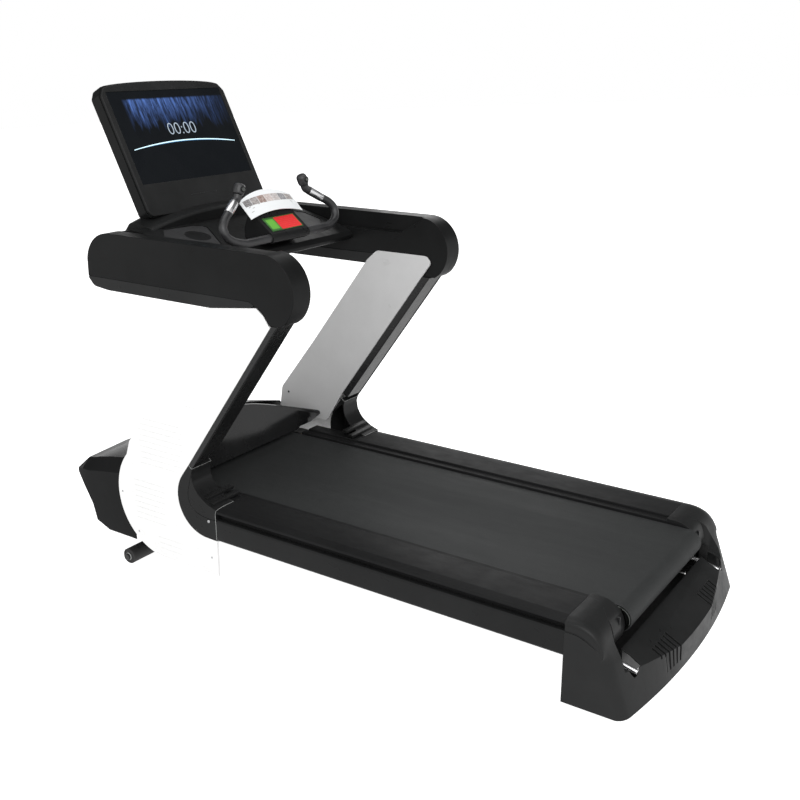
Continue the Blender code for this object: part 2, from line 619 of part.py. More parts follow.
# ---- arms and console ----------------------------------------------------------------------------
def arms():
    """Hollow side arms of the console, open below."""
    knuckle = arc(KNUCKLE_CENTRE, KNUCKLE_R, 225, 107, 10)
    front = arc((1.812, 1.003), 0.105, 90, 8, 7)
    foot = [(1.152, 0.9005), (1.172, 0.929), (1.197, 0.948), (1.224, ARM_BOTTOM)]
    whole = [(1.107, 0.9005)] + knuckle + [(1.16, ARM_TOP)] + front + [(1.917, ARM_BOTTOM)]
    whole = whole + foot[::-1]
    for name, side in SIDES:
        arm = place(f"arm_{name}", slab([whole], *span(side, ARM_INNER, HALF_WIDTH)), "satin_black")
        cut(arm, block(span(side, 0.36, ARM_RECESS), (1.20, 2.0), (ARM_SHELF, 1.2)))
        cut(arm, slab([[(1.26, 0.9), (1.90, 0.9), (1.90, 1.05), (1.85, 1.10), (1.82, ARM_TOP - WALL),
                        (1.26, ARM_TOP - WALL)]], *span(side, ARM_RECESS + WALL, HALF_WIDTH - WALL)))


def arm_trims():
    """Lower covers of the arms."""
    line = [(1.1985, 0.9485), (1.40, 0.9225), (1.830, 0.9225), (1.895, 0.930), (1.917, 0.955),
            (1.917, ARM_BOTTOM - GAP), (1.2255, ARM_BOTTOM - GAP)]
    for name, side in SIDES:
        place(f"arm_trim_{name}", slab([line], *span(side, ARM_INNER, HALF_WIDTH)), "satin_black",
              bevel=0.003)


def console_tray():
    """Hollow console between the arms, with two cup holders and a cable opening at the front."""
    outline = [(1.905, 0.985), (1.905, 1.088), (1.785, 1.112), (1.72, 1.104), (1.52, 1.055),
               (1.468, 1.036), (1.460, 1.020), (1.470, 1.004), (1.62, 0.985)]
    hollow = [(1.900, 0.990), (1.900, 1.083), (1.785, 1.107), (1.72, 1.099), (1.53, 1.053),
              (1.475, 1.033), (1.468, 1.020), (1.475, 1.009), (1.62, 0.990)]
    wide = ARM_INNER - GAP
    tray = place("console_tray", slab([outline], -wide, wide), "satin_black")
    cut(tray, slab([hollow], -wide + WALL, wide - WALL))
    cut(tray, rod(0.02, 0.05, "Y", at=(0, 1.905, 1.03)))
    for side in (-1, 1):
        join(tray, rod(0.046, 0.088, "Z", at=(side * 0.222, 1.648, 1.031), segments=28))
        cut(tray, rod(0.042, 0.12, "Z", at=(side * 0.222, 1.648, 1.053), segments=28))


def monitor():
    """Tilted screen: back shell, front bezel, glass and the bracket to the console."""
    plan = Matrix.Identity(4)
    turn = (SCREEN_TILT, 0, 0)
    case = [(-0.285, -0.112), (0.285, -0.112), (0.294, -0.100), (0.294, 0.322), (0.276, 0.343),
            (0.14, 0.357), (0, 0.362), (-0.14, 0.357), (-0.276, 0.343), (-0.294, 0.322),
            (-0.294, -0.100)]
    shell = place("monitor_back", slab([case], -0.048, -0.010, plan), "satin_black",
                  at=SCREEN_ORIGIN, turn=turn, bevel=0.006)
    cut(shell, block((-0.288, 0.288), (-0.106, 0.338), (-0.044, 0.01)), at=SCREEN_ORIGIN, turn=turn)
    front = [(x * 0.985, y * 0.985) for x, y in case]
    window = [(-0.2685, -0.0005), (0.2685, -0.0005), (0.2685, 0.3245), (-0.2685, 0.3245)]
    place("monitor_bezel", slab([front, window], -0.0096, 0, plan), "satin_black",
          at=SCREEN_ORIGIN, turn=turn, bevel=0.0015)
    place("screen_glass", block((-0.268, 0.268), (0.0, 0.324), (-0.0096, -0.001)), "screen",
          at=SCREEN_ORIGIN, turn=turn)
    bracket = [(1.8513, 1.1553), (1.9181, 1.2895), (1.956, 1.272), (1.902, 1.0895), (1.846, 1.1005)]
    place("monitor_mount", slab([bracket], -0.11, 0.11), "satin_black", bevel=0.003)


# ---- handlebar and controls ----------------------------------------------------------------------
SENSOR_LOW = Vector((0.242, 1.492, 1.168))
SENSOR_HIGH = Vector((0.191, 1.510, 1.198))
TIP = Vector((0.170, 1.512, 1.220))
POD_AXIS = Vector((-0.45, 0.02, 0.89)).normalized()


def mirrored(side, point):
    return Vector((side * point[0], point[1], point[2]))


def smooth_path(points, steps):
    """Catmull-Rom points through the given ones."""
    padded = [2 * points[0] - points[1], *points, 2 * points[-1] - points[-2]]
    found = []
    for a, b, c, d in zip(padded, padded[1:], padded[2:], padded[3:]):
        for k in range(steps):
            t = k / steps
            found.append(0.5 * (2 * b + (c - a) * t + (2 * a - 5 * b + 4 * c - d) * t * t
                                + (3 * b - a - 3 * c + d) * t ** 3))
    return found + [points[-1]]


def handlebar():
    """One bent bar: level across the middle, and curled up and inwards at both ends."""
    bend = [Vector((0.215, BAR_Y, BAR_Z)), Vector((0.255, 1.4545, 1.0855)),
            Vector((0.281, 1.464, 1.103)), Vector((0.286, 1.474, 1.130)),
            Vector((0.268, 1.483, 1.152)), SENSOR_LOW]
    right = smooth_path(bend, 3) + [SENSOR_HIGH] + smooth_path(
        [SENSOR_HIGH, Vector((0.1772, 1.5117, 1.2058)), TIP], 2)[1:]
    left = [mirrored(-1, point) for point in reversed(right)]
    place("handlebar", tube(left + right, BAR_R, 4), "satin_black")


def aim(direction):
    """Rotation that carries Z onto a direction."""
    return Vector((0, 0, 1)).rotation_difference(direction).to_euler()


def grips():
    """Silver pulse sensors on the bar, and end pods with a thumb button each."""
    for name, side in SIDES:
        low, high = mirrored(side, SENSOR_LOW), mirrored(side, SENSOR_HIGH)
        along = aim(high - low)
        length = (high - low).length - 0.004
        sleeve = place(f"grip_sensor_{name}", rod(BAR_R + 0.0018, length, "Z"), "steel",
                       at=(low + high) / 2, turn=along)
        cut(sleeve, rod(BAR_R + 0.0005, 0.1, "Z"), at=(low + high) / 2, turn=along)
        axis = mirrored(side, POD_AXIS)
        centre = mirrored(side, TIP) + axis * 0.0195
        pod = place(f"grip_pod_{name}", rod(0.0195, 0.033, "Z"), "satin_black", at=centre,
                    turn=aim(axis), bevel=0.006)
        face = thumb_axis(side)
        cut(pod, rod(0.0075, 0.012, "Z"), at=centre + face * 0.0195, turn=aim(face))
        place(f"thumb_button_{name}", rod(0.0069, 0.006, "Z", segments=20), "steel",
              at=centre + face * 0.0185, turn=aim(face))


def thumb_axis(side):
    """Direction the thumb button faces: up and towards the runner, square to the pod."""
    axis = mirrored(side, POD_AXIS)
    towards = Vector((0, -1, 0.2))
    return (towards - axis * towards.dot(axis)).normalized()


def control_pod():
    """Pod clamped on the bar's middle, with a sloped key face and a backrest for the board."""
    turn = (KEY_TILT, 0, 0)
    outline = [(1.4381, 1.0884), (1.4975, 1.1351), (1.5040, 1.1510), (1.5200, 1.1670),
               (1.5330, 1.1640), (1.5580, 1.1000), (1.5560, 1.0665), (1.520, 1.0560),
               (1.4700, 1.0570), (1.4500, 1.0560), (1.4330, 1.0650), (1.4300, 1.0770)]
    pod = place("control_pod", slab([outline], -0.095, 0.095), "satin_black", bevel=0.003)
    cut(pod, rod(BAR_R + GAP, 0.3, at=(0, BAR_Y, BAR_Z)))
    cut(pod, block((-0.0765, 0.0765), (-0.028, 0.028), (-0.0045, 0.02)), at=KEY_ORIGIN, turn=turn)


def keys():
    """Green start key and wide red stop key, lying in the pod's recess."""
    turn = (KEY_TILT, 0, 0)
    for name, low, high, finish in (("start_key", -0.0755, -0.0275, "start_green"),
                                    ("stop_key", -0.0265, 0.0755, "stop_red")):
        place(name, block((low, high), (-0.027, 0.027), (-0.0030, 0.0012)), finish,
              at=KEY_ORIGIN, turn=turn)


def info_board():
    """Crowned white sheet that leans on the pod above the keys."""
    rings = []
    for k in range(9):
        x = -0.129 + 0.258 * k / 8
        crown = 0.010 * (1 - (x / 0.129) ** 2)
        ring = []
        for along, out in ((0.0, 0.0), (0.078, 0.0), (0.078, 0.0025), (0.0, 0.0025)):
            narrow = 1 - 0.14 * along / 0.078
            ring.append((x * narrow, along + crown * 0.7, out + crown))
        rings.append(ring)
    place("info_board", loft(rings), "sheet_white", at=(0, 1.4965, 1.1405), turn=(BOARD_TILT, 0, 0))


# ---- hood and nose -------------------------------------------------------------------------------
def crown(x, middle, fall):
    """Height of a roof-like crown at a distance from the middle."""
    return middle + fall * 0.06 - fall * math.hypot(x, 0.06)


def hood():
    """Motor hood between the masts: dark rear face, crowned top, open below."""
    rings = []
    stations = [-0.3712, -0.32, -0.26, -0.18, -0.09, 0.0, 0.09, 0.18, 0.26, 0.32, 0.3712]
    for x in stations:
        top = crown(x, 0.424, 0.35)
        crest = 1.70 - 0.07 * (x / 0.366) ** 2
        front = crown(x, 0.384, 0.33)
        foot = 0.2585 if abs(x) > 0.30 else 0.2500
        outer = [(1.672, foot), (crest - 0.004, top - 0.012), (crest + 0.006, top), (1.842, front)]
        inner = [(1.842, front - WALL), (crest + 0.006, top - WALL), (crest, top - 0.014),
                 (1.676, foot)]
        rings.append([(x, y, z) for y, z in outer + inner])
    place("motor_hood", loft(rings), "gloss_black")


def nose_section(y, half, side_top, shoulder, middle, bottom, inset=0.0):
    """Cross-section of the nose cover, open or closed below by its bottom height."""
    half, middle, shoulder = half - inset, middle - inset, shoulder - inset
    side_top = side_top - inset * 0.4
    right = [(half - 0.012, bottom), (half, min(bottom + 0.03, side_top - 0.01)), (half, side_top),
             (half - 0.035, shoulder), (half * 0.5, (shoulder + middle) / 2 + 0.008)]
    left = [(-x, z) for x, z in reversed(right)]
    return [(x, y, z) for x, z in right + [(0, middle)] + left]


def nose():
    """Front cover: faceted shell round the motor, open to the rear and below."""
    stations = ((1.8424, 0.420, 0.262, 0.312, 0.384, 0.012), (1.983, 0.420, 0.242, 0.288, 0.310, 0.012),
                (2.041, 0.420, 0.232, 0.275, 0.290, 0.035), (2.057, 0.420, 0.228, 0.270, 0.280, 0.094),
                (2.095, 0.415, 0.222, 0.256, 0.264, 0.165), (2.118, 0.400, 0.218, 0.236, 0.240, 0.202))
    cover = place("nose_cover", loft([nose_section(*one) for one in stations]), "gloss_black")
    inside = ((1.80, 0.420, 0.262, 0.312, 0.384, -0.03), (1.8424, 0.420, 0.262, 0.312, 0.384, -0.03),
              (1.983, 0.420, 0.242, 0.288, 0.310, -0.03), (2.0368, 0.420, 0.233, 0.276, 0.2915, -0.03),
              (2.0370, 0.420, 0.233, 0.276, 0.2915, 0.037), (2.0530, 0.420, 0.229, 0.271, 0.2825, 0.098),
              (2.0915, 0.4155, 0.2225, 0.257, 0.2655, 0.169), (2.1095, 0.4055, 0.2195, 0.2434, 0.2489, 0.198))
    cut(cover, loft([nose_section(*one, inset=WALL) for one in inside]))
    inlet_at, inlet_turn = (-0.25, 2.083, 0.143), (math.radians(-118), 0, 0)
    cut(cover, block((-0.0255, 0.0255), (-0.0155, 0.0155), (-0.03, 0.03)), inlet_at, inlet_turn)
    place("power_inlet", block((-0.025, 0.025), (-0.015, 0.015), (-0.020, 0.006)), "gloss_black",
          at=inlet_at, turn=inlet_turn)


# ---- assembly ------------------------------------------------------------------------------------
side_beams()
crossmembers()
cushions()
deck_board()
front_beam()
lift_bracket()
feet()
roller("rear_roller", REAR_ROLLER_Y, False)
roller("front_roller", FRONT_ROLLER_Y, True)
running_belt()
tension_bolts()
drive()
lift_frame()
lift_wheels()
lift_actuator()
foot_rails()
rail_skirts()
rear_cap()
lower_corners()
masts()
side_panels()
arms()
arm_trims()
console_tray()
monitor()
handlebar()
grips()
control_pod()
keys()
info_board()
hood()
nose()
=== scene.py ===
"""Looks of a commercial treadmill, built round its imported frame.

Shapes are laid out level in the deck's own frame, as the parts were designed: X to the
runner's right, Y forwards to the console, Z up. One matrix, DECK, carries them into the
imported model's frame.
"""

import json
import math

import bmesh
import bpy
from mathutils import Euler, Matrix, Vector


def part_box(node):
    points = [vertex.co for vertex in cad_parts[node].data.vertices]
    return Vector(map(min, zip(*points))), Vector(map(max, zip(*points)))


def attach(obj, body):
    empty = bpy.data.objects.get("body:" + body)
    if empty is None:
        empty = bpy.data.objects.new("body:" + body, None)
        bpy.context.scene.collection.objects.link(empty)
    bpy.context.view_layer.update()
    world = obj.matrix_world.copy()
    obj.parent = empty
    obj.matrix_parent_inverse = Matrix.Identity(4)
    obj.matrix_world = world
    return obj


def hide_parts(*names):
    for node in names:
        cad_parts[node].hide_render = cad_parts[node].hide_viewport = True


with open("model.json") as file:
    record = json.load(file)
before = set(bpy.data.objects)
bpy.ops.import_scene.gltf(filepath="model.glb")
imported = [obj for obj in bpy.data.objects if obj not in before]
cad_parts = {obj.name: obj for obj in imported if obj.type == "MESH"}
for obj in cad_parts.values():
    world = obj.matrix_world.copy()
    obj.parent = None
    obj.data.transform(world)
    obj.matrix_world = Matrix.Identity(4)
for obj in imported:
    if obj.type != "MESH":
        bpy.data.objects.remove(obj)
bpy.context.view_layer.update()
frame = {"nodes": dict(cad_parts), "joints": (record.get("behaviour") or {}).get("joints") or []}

# ---- the deck's frame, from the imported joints
JOINTS = {joint["name"]: joint for joint in frame["joints"]}
ALONG_DECK = Vector(JOINTS["lift_tube_slide"]["axis"])
GRADE = math.atan2(ALONG_DECK.z, ALONG_DECK.y)
REAR_ROLLER_Y, FRONT_ROLLER_Y, ROLLER_Z = 0.098, 1.735, 0.194
DECK = (Matrix.Translation(JOINTS["front_roller_spin"]["pos_m"]) @ Matrix.Rotation(GRADE, 4, "X")
        @ Matrix.Translation((0, -FRONT_ROLLER_Y, -ROLLER_Z)))
LEVEL = DECK.inverted()

# ---- driving dimensions, metres, as in the parts
GAP = 0.0004
HALF_WIDTH = 0.46
MAST_INNER = 0.3705
RAIL_INNER = 0.316
GROOVE = 0.4388
RAIL_TOP, RAIL_BOTTOM = 0.25, 0.14
CAP_FRONT = 0.175
CORNER_REAR = 1.4105
BEAM_TOP = 0.222
WALL = 0.004
BELT_HALF, BELT_THICK, BELT_INSIDE = 0.285, 0.003, 0.0378
MAST_ANGLE = math.radians(54.04)
MAST_FOOT = (1.5033, 0.3728)
MAST_STRIP, MAST_DEPTH = 0.0175, 0.028
CORNER_CENTRE, CORNER_R = (1.452, 0.265), 0.123
ARM_TOP, ARM_BOTTOM, ARM_INNER, ARM_RECESS, ARM_SHELF = 1.108, 0.963, 0.38, 0.40, 1.045
KNUCKLE_CENTRE, KNUCKLE_R = (1.171, 0.994), 0.115
SCREEN_ORIGIN, SCREEN_TILT = (0.0, 1.837, 1.24), math.radians(90 - 26.5)
BAR_R, BAR_Y, BAR_Z = 0.0140, 1.45, 1.075
KEY_ORIGIN, KEY_TILT = (0.0, 1.4706, 1.1139), math.radians(38.2)
BOARD_ORIGIN, BOARD_TILT = (0.0, 1.4965, 1.1405), math.radians(45.0)
CUP_X, CUP_Y, CUP_R = 0.222, 1.648, 0.042
WHEEL_R = 0.0285
STRIP_INNER, LINING_INNER = 0.4525, 0.372
SEAM_R, SEAM_LIFT = 0.0006, 0.0003
FOOT_X, FOOT_Y = 0.356, 0.039
CASE_BACK, BEZEL_BACK = -0.048, -0.0096
GLASS_HALF, GLASS_HIGH, GLASS_FACE = 0.268, 0.324, -0.001
CHIN_Y = -0.056
KEY_HALF_HIGH, KEY_TOP = 0.027, 0.0012
BOARD_HALF, BOARD_LOW, BOARD_HIGH, BOARD_FACE = 0.132, -0.006, 0.068, 0.0024

ALONG_X = Matrix(((0, 0, 1, 0), (1, 0, 0, 0), (0, 1, 0, 0), (0, 0, 0, 1)))
ALONG_Y = Matrix(((1, 0, 0, 0), (0, 0, -1, 0), (0, 1, 0, 0), (0, 0, 0, 1)))
ALONG_Z = Matrix.Identity(4)
SIDES = (("left", -1), ("right", 1))


def placed(name, data):
    """A new object in the scene."""
    obj = bpy.data.objects.new(name, data)
    bpy.context.scene.collection.objects.link(obj)
    return obj


# ---- camera and studio
def camera():
    """Looks down at the machine from behind its left side."""
    yaw, pitch = math.radians(-56.3), math.radians(18.4)
    level = math.cos(pitch)
    back = Vector((math.sin(yaw) * level, -math.cos(yaw) * level, math.sin(pitch)))
    right = Vector((math.cos(yaw), math.sin(yaw), 0))
    up = back.cross(right)
    stand = Matrix((right, up, back)).transposed().to_4x4()
    stand.translation = (-2.722, -0.816, 1.663)
    made = placed("camera", bpy.data.cameras.new("camera"))
    made.data.lens = 47.43
    made.data.sensor_width = 36
    made.matrix_world = DECK @ stand
    bpy.context.scene.camera = made


def area_light(name, at, towards, size, power, glint):
    """Rectangular lamp; glint is its share in reflections."""
    lamp = bpy.data.lights.new(name, "AREA")
    lamp.shape = "RECTANGLE"
    lamp.size, lamp.size_y = size
    lamp.energy = power
    lamp.specular_factor = glint
    made = placed(name, lamp)
    made.location = at
    made.rotation_euler = (Vector(towards) - Vector(at)).to_track_quat("-Z", "Y").to_euler()


def dim_behind(tree, strength):
    """White surround, dim above the horizon on the far side, so that level tops stay dark."""
    direction = tree.nodes.new("ShaderNodeTexCoord").outputs["Generated"]
    far = tree.nodes.new("ShaderNodeVectorMath")
    far.operation = "DOT_PRODUCT"
    far.inputs[1].default_value = (0.79, 0.53, 0.30)
    tree.links.new(direction, far.inputs[0])
    split = tree.nodes.new("ShaderNodeSeparateXYZ")
    tree.links.new(direction, split.inputs[0])
    shares = []
    for value, low, high in ((far.outputs["Value"], -0.1, 0.45), (split.outputs["Z"], 0.13, 0.24)):
        ramp = tree.nodes.new("ShaderNodeMapRange")
        ramp.interpolation_type = "SMOOTHSTEP"
        ramp.inputs["From Min"].default_value = low
        ramp.inputs["From Max"].default_value = high
        tree.links.new(value, ramp.inputs["Value"])
        shares.append(ramp.outputs["Result"])
    both = tree.nodes.new("ShaderNodeMath")
    both.operation = "MULTIPLY"
    for share, socket in zip(shares, both.inputs):
        tree.links.new(share, socket)
    level = tree.nodes.new("ShaderNodeMapRange")
    level.inputs["To Min"].default_value = 1.0
    level.inputs["To Max"].default_value = 0.10
    tree.links.new(both.outputs[0], level.inputs["Value"])
    tree.links.new(level.outputs["Result"], strength)


def studio():
    """Pale floor, a pale surround and large soft lights."""
    world = bpy.data.worlds.new("surround")
    bpy.context.scene.world = world
    world.use_nodes = True
    backdrop = world.node_tree.nodes["Background"]
    backdrop.inputs["Color"].default_value = (1, 1, 1, 1)
    dim_behind(world.node_tree, backdrop.inputs["Strength"])
    bpy.context.scene.view_settings.view_transform = "Standard"
    area_light("key", (-2.6, -2.2, 3.4), (0, 0, 0.5), (3.2, 3.2), 84, 0.5)
    area_light("top", (0.4, 0.6, 4.2), (0, 0, 0.4), (3.0, 2.0), 30, 0.25)
    area_light("far", (3.4, 1.4, 2.4), (0, 0.2, 0.7), (1.6, 2.4), 20, 0.0)
    form = bmesh.new()
    bmesh.ops.create_grid(form, x_segments=8, y_segments=8, size=60)
    floor = placed("floor", mesh_of(form))
    floor.data.materials.append(floor_paint())
    floor.visible_diffuse = False
    floor.visible_glossy = False


# ---- materials
class Nodes:
    """A material's node tree, with short calls for the nodes used here."""

    def __init__(self, name):
        self.material = bpy.data.materials.new(name)
        self.material.use_nodes = True
        self.tree = self.material.node_tree
        self.place = self.add("ShaderNodeTexCoord").outputs["Object"]

    def add(self, kind, **settings):
        """A new node with its settings."""
        node = self.tree.nodes.new(kind)
        for key, value in settings.items():
            setattr(node, key, value)
        return node

    def link(self, out, into):
        self.tree.links.new(out, into)

    def feed(self, **inputs):
        """Sets or links the shader's inputs, with underscores for the spaces in their names."""
        shader = self.tree.nodes["Principled BSDF"]
        for name, value in inputs.items():
            socket = shader.inputs[name.replace("_", " ")]
            if isinstance(value, float):
                socket.default_value = value
            else:
                self.link(value, socket)

    def noise(self, scale, detail=3.0, rough=0.5, stretch=None, warp=0.0):
        """Noise fixed to the piece, stretched along its axes when asked."""
        node = self.add("ShaderNodeTexNoise")
        node.inputs["Scale"].default_value = scale
        node.inputs["Detail"].default_value = detail
        node.inputs["Roughness"].default_value = rough
        node.inputs["Distortion"].default_value = warp
        source = self.place
        if stretch:
            mapping = self.add("ShaderNodeMapping")
            mapping.inputs["Scale"].default_value = stretch
            self.link(source, mapping.inputs["Vector"])
            source = mapping.outputs["Vector"]
        self.link(source, node.inputs["Vector"])
        return node.outputs["Fac"]

    def spread(self, value, low, high, from_low=0.3, from_high=0.7):
        """Maps a value to a range."""
        node = self.add("ShaderNodeMapRange")
        node.inputs["From Min"].default_value = from_low
        node.inputs["From Max"].default_value = from_high
        node.inputs["To Min"].default_value = low
        node.inputs["To Max"].default_value = high
        self.link(value, node.inputs["Value"])
        return node.outputs["Result"]

    def sum(self, a, b, operation="ADD"):
        """Two values, added or combined another way."""
        node = self.add("ShaderNodeMath", operation=operation)
        for value, socket in ((a, node.inputs[0]), (b, node.inputs[1])):
            if isinstance(value, float):
                socket.default_value = value
            else:
                self.link(value, socket)
        return node.outputs[0]

    def blend(self, factor, first, second):
        """Mixes two colours, each a tuple or a socket."""
        node = self.add("ShaderNodeMix", data_type="RGBA")
        self.link(factor, node.inputs[0])
        for value, socket in ((first, node.inputs[6]), (second, node.inputs[7])):
            if isinstance(value, tuple):
                socket.default_value = (*value, 1)
            else:
                self.link(value, socket)
        return node.outputs[2]

    def mottle(self, value, first, second):
        """Mixes two colours by a noise."""
        return self.blend(self.spread(value, 0.0, 1.0), first, second)

    def bump(self, height, depth, under=None):
        """Normals bent by a height, on top of other normals when given."""
        node = self.add("ShaderNodeBump")
        node.inputs["Strength"].default_value = 1.0
        node.inputs["Distance"].default_value = depth
        self.link(height, node.inputs["Height"])
        if under is not None:
            self.link(under, node.inputs["Normal"])
        return node.outputs["Normal"]

    def edge(self, radius):
        """Softened normals, and a mask that is high where the surface turns."""
        soft = self.add("ShaderNodeBevel", samples=4)
        soft.inputs["Radius"].default_value = radius
        flat = self.add("ShaderNodeNewGeometry").outputs["Normal"]
        dot = self.add("ShaderNodeVectorMath", operation="DOT_PRODUCT")
        self.link(soft.outputs["Normal"], dot.inputs[0])
        self.link(flat, dot.inputs[1])
        return soft.outputs["Normal"], self.spread(dot.outputs["Value"], 1.0, 0.0, 0.90, 0.995)


def shift(colour, factor):
    """A lighter or darker colour."""
    return tuple(min(1.0, channel * factor) for channel in colour)


def coated(name, colour, rough, metallic=0.0, grain=0.00004, grain_scale=900.0, vary=0.06, edge_wear_and_highlight_colour=None,
           tint=0.18, edge=0.0012, coat=0.0, shine=0.5):
    """Moulded plastic or paint: fine grain, uneven sheen, faint colour drift, and edges lightened in
    colour, partly as rubbed wear and partly as a painted edge highlight.
    """
    nodes = Nodes(name)
    soft, rim = nodes.edge(edge)
    cloud = nodes.noise(5.0, 4.0, 0.6)
    smear = nodes.noise(38.0, 5.0, 0.62, stretch=(1.0, 0.45, 1.0), warp=0.4)
    uneven = nodes.sum(nodes.spread(cloud, -vary, vary),
                       nodes.spread(smear, rough - vary, rough + vary))
    base = nodes.mottle(cloud, shift(colour, 1 - tint), shift(colour, 1 + tint))
    # Painted edge highlight mixed with rubbed wear: the colour turns lighter in patches wherever the
    # surface turns.
    edge_wear_and_highlight = nodes.sum(rim, nodes.spread(nodes.noise(120.0, 3.0), 0.15, 0.85), "MULTIPLY")
    nodes.feed(Metallic=metallic, Specular_IOR_Level=shine, Coat_Weight=coat, Coat_Roughness=0.12,
               Roughness=uneven, Base_Color=nodes.blend(edge_wear_and_highlight, base, edge_wear_and_highlight_colour or shift(colour, 2.2)),
               Normal=nodes.bump(nodes.noise(grain_scale, 2.0), grain, under=soft))
    return nodes.material


def belt_cloth(name):
    """Running belt: a fine diamond weave in rubber, polished a little where feet land."""
    nodes = Nodes(name)
    heights = []
    for turn in (45, -45):
        mapping = nodes.add("ShaderNodeMapping")
        mapping.inputs["Rotation"].default_value = (0, 0, math.radians(turn))
        nodes.link(nodes.place, mapping.inputs["Vector"])
        wave = nodes.add("ShaderNodeTexWave", wave_type="BANDS", bands_direction="X")
        wave.inputs["Scale"].default_value = 120.0
        nodes.link(mapping.outputs["Vector"], wave.inputs["Vector"])
        heights.append(wave.outputs["Fac"])
    weave = nodes.sum(heights[0], heights[1], "MULTIPLY")
    speck = nodes.noise(1600.0, 2.0)
    scuff = nodes.noise(9.0, 6.0, 0.65, stretch=(3.0, 0.35, 1.0), warp=0.6)
    lane = nodes.noise(3.0, 2.0, 0.4, stretch=(1.6, 0.25, 1.0))
    base = nodes.mottle(scuff, (0.024, 0.0255, 0.0255), (0.031, 0.0325, 0.0325))
    nodes.feed(Specular_IOR_Level=0.12,
               Roughness=nodes.sum(nodes.spread(scuff, -0.07, 0.07), nodes.spread(lane, 0.50, 0.64)),
               Base_Color=nodes.blend(nodes.spread(speck, 0.0, 0.35), base, (0.055, 0.057, 0.057)),
               Normal=nodes.bump(speck, 0.00005, under=nodes.bump(weave, 0.00018)))
    return nodes.material


def brushed(name, colour, rough, along=(1.0, 90.0, 90.0)):
    """Metal with fine lines along one direction."""
    nodes = Nodes(name)
    lines = nodes.noise(14.0, 5.0, 0.7, stretch=along)
    cloud = nodes.spread(nodes.noise(16.0, 3.0), rough - 0.04, rough + 0.05)
    nodes.feed(Metallic=1.0, Roughness=nodes.sum(nodes.spread(lines, -0.06, 0.06), cloud),
               Base_Color=nodes.mottle(lines, shift(colour, 0.85), shift(colour, 1.12)),
               Normal=nodes.bump(lines, 0.00003))
    return nodes.material


def rubber_skin(name, colour=(0.016, 0.016, 0.016), rough=0.72):
    """Rubber: fine pores under a patchy dusty sheen."""
    nodes = Nodes(name)
    dusty = nodes.noise(22.0, 5.0, 0.65)
    nodes.feed(Specular_IOR_Level=0.5, Roughness=nodes.spread(dusty, rough - 0.08, rough + 0.1),
               Base_Color=nodes.mottle(dusty, colour, shift(colour, 1.9)),
               Normal=nodes.bump(nodes.noise(700.0, 3.0, 0.6), 0.00010))
    return nodes.material


def board_fibre(name):
    """Pressed board with a dark waxed face: layered fibres show on the edges."""
    nodes = Nodes(name)
    fibre = nodes.noise(60.0, 6.0, 0.7, stretch=(1.0, 1.0, 14.0))
    nodes.feed(Roughness=nodes.spread(fibre, 0.45, 0.7), Normal=nodes.bump(fibre, 0.0002),
               Base_Color=nodes.mottle(fibre, (0.09, 0.055, 0.03), (0.2, 0.13, 0.08)))
    return nodes.material


def glow(name, colour, strength):
    """Lit pixels on the screen, with a slight unevenness."""
    nodes = Nodes(name)
    fine = nodes.noise(400.0, 2.0)
    nodes.feed(Roughness=0.3, Emission_Strength=strength,
               Emission_Color=nodes.mottle(fine, shift(colour, 0.85), shift(colour, 1.1)),
               Base_Color=nodes.mottle(fine, shift(colour, 0.3), shift(colour, 0.4)))
    return nodes.material


def screen_image(name, width, height):
    """Dark screen: blue streaks of light hang from its top edge. Its own X is across, Y is up."""
    nodes = Nodes(name)
    split = nodes.add("ShaderNodeSeparateXYZ")
    nodes.link(nodes.place, split.inputs[0])
    across, up = split.outputs["X"], split.outputs["Y"]
    fall = nodes.noise(7.0, 6.0, 0.72, stretch=(13.0, 1.6, 1.0), warp=0.3)
    streaks = nodes.spread(fall, 0.0, 1.0, 0.42, 0.66)
    tatter = nodes.spread(nodes.noise(16.0, 3.0, 0.6, stretch=(3.0, 0.5, 1.0)), -0.03, 0.03)
    hang = nodes.spread(nodes.sum(up, tatter), 0.0, 1.0, height * 0.60, height * 0.86)
    rim = nodes.spread(up, 1.0, 0.0, height * 0.90, height * 0.92)
    left = nodes.spread(across, 0.0, 1.0, -width * 0.40, -width * 0.33)
    right = nodes.spread(across, 1.0, 0.12, -width * 0.02, width * 0.48)
    mask = nodes.sum(nodes.sum(hang, rim, "MULTIPLY"), nodes.sum(left, right, "MULTIPLY"), "MULTIPLY")
    light = nodes.sum(nodes.sum(mask, streaks, "MULTIPLY"), nodes.sum(mask, 0.14, "MULTIPLY"))
    smear = nodes.noise(11.0, 5.0, 0.6, warp=0.5)
    nodes.feed(Specular_IOR_Level=0.15, Emission_Strength=1.0,
               Roughness=nodes.spread(smear, 0.05, 0.11),
               Emission_Color=nodes.blend(light, (0.0034, 0.0038, 0.0036), (0.10, 0.20, 0.56)),
               Base_Color=nodes.mottle(smear, (0.004, 0.005, 0.007), (0.006, 0.007, 0.009)))
    return nodes.material


def printed(name, light, dark):
    """Small printed picture: soft blotches of one tone in a frame of another."""
    nodes = Nodes(name)
    blots = nodes.spread(nodes.noise(150.0, 4.0, 0.7, warp=1.0), 0.0, 1.0, 0.4, 0.6)
    nodes.feed(Base_Color=nodes.blend(blots, light, dark),
               Roughness=nodes.spread(nodes.noise(30.0), 0.3, 0.42))
    return nodes.material


def floor_paint():
    """Pale matt floor, lit up to the surround's white."""
    nodes = Nodes("floor_paint")
    cloud = nodes.noise(0.8, 3.0)
    nodes.feed(Roughness=0.9, Specular_IOR_Level=0.1, Emission_Strength=1.0,
               Base_Color=nodes.mottle(cloud, (0.86, 0.86, 0.86), (0.88, 0.88, 0.88)),
               Emission_Color=nodes.mottle(cloud, (0.97, 0.97, 0.97), (1.0, 1.0, 1.0)))
    return nodes.material


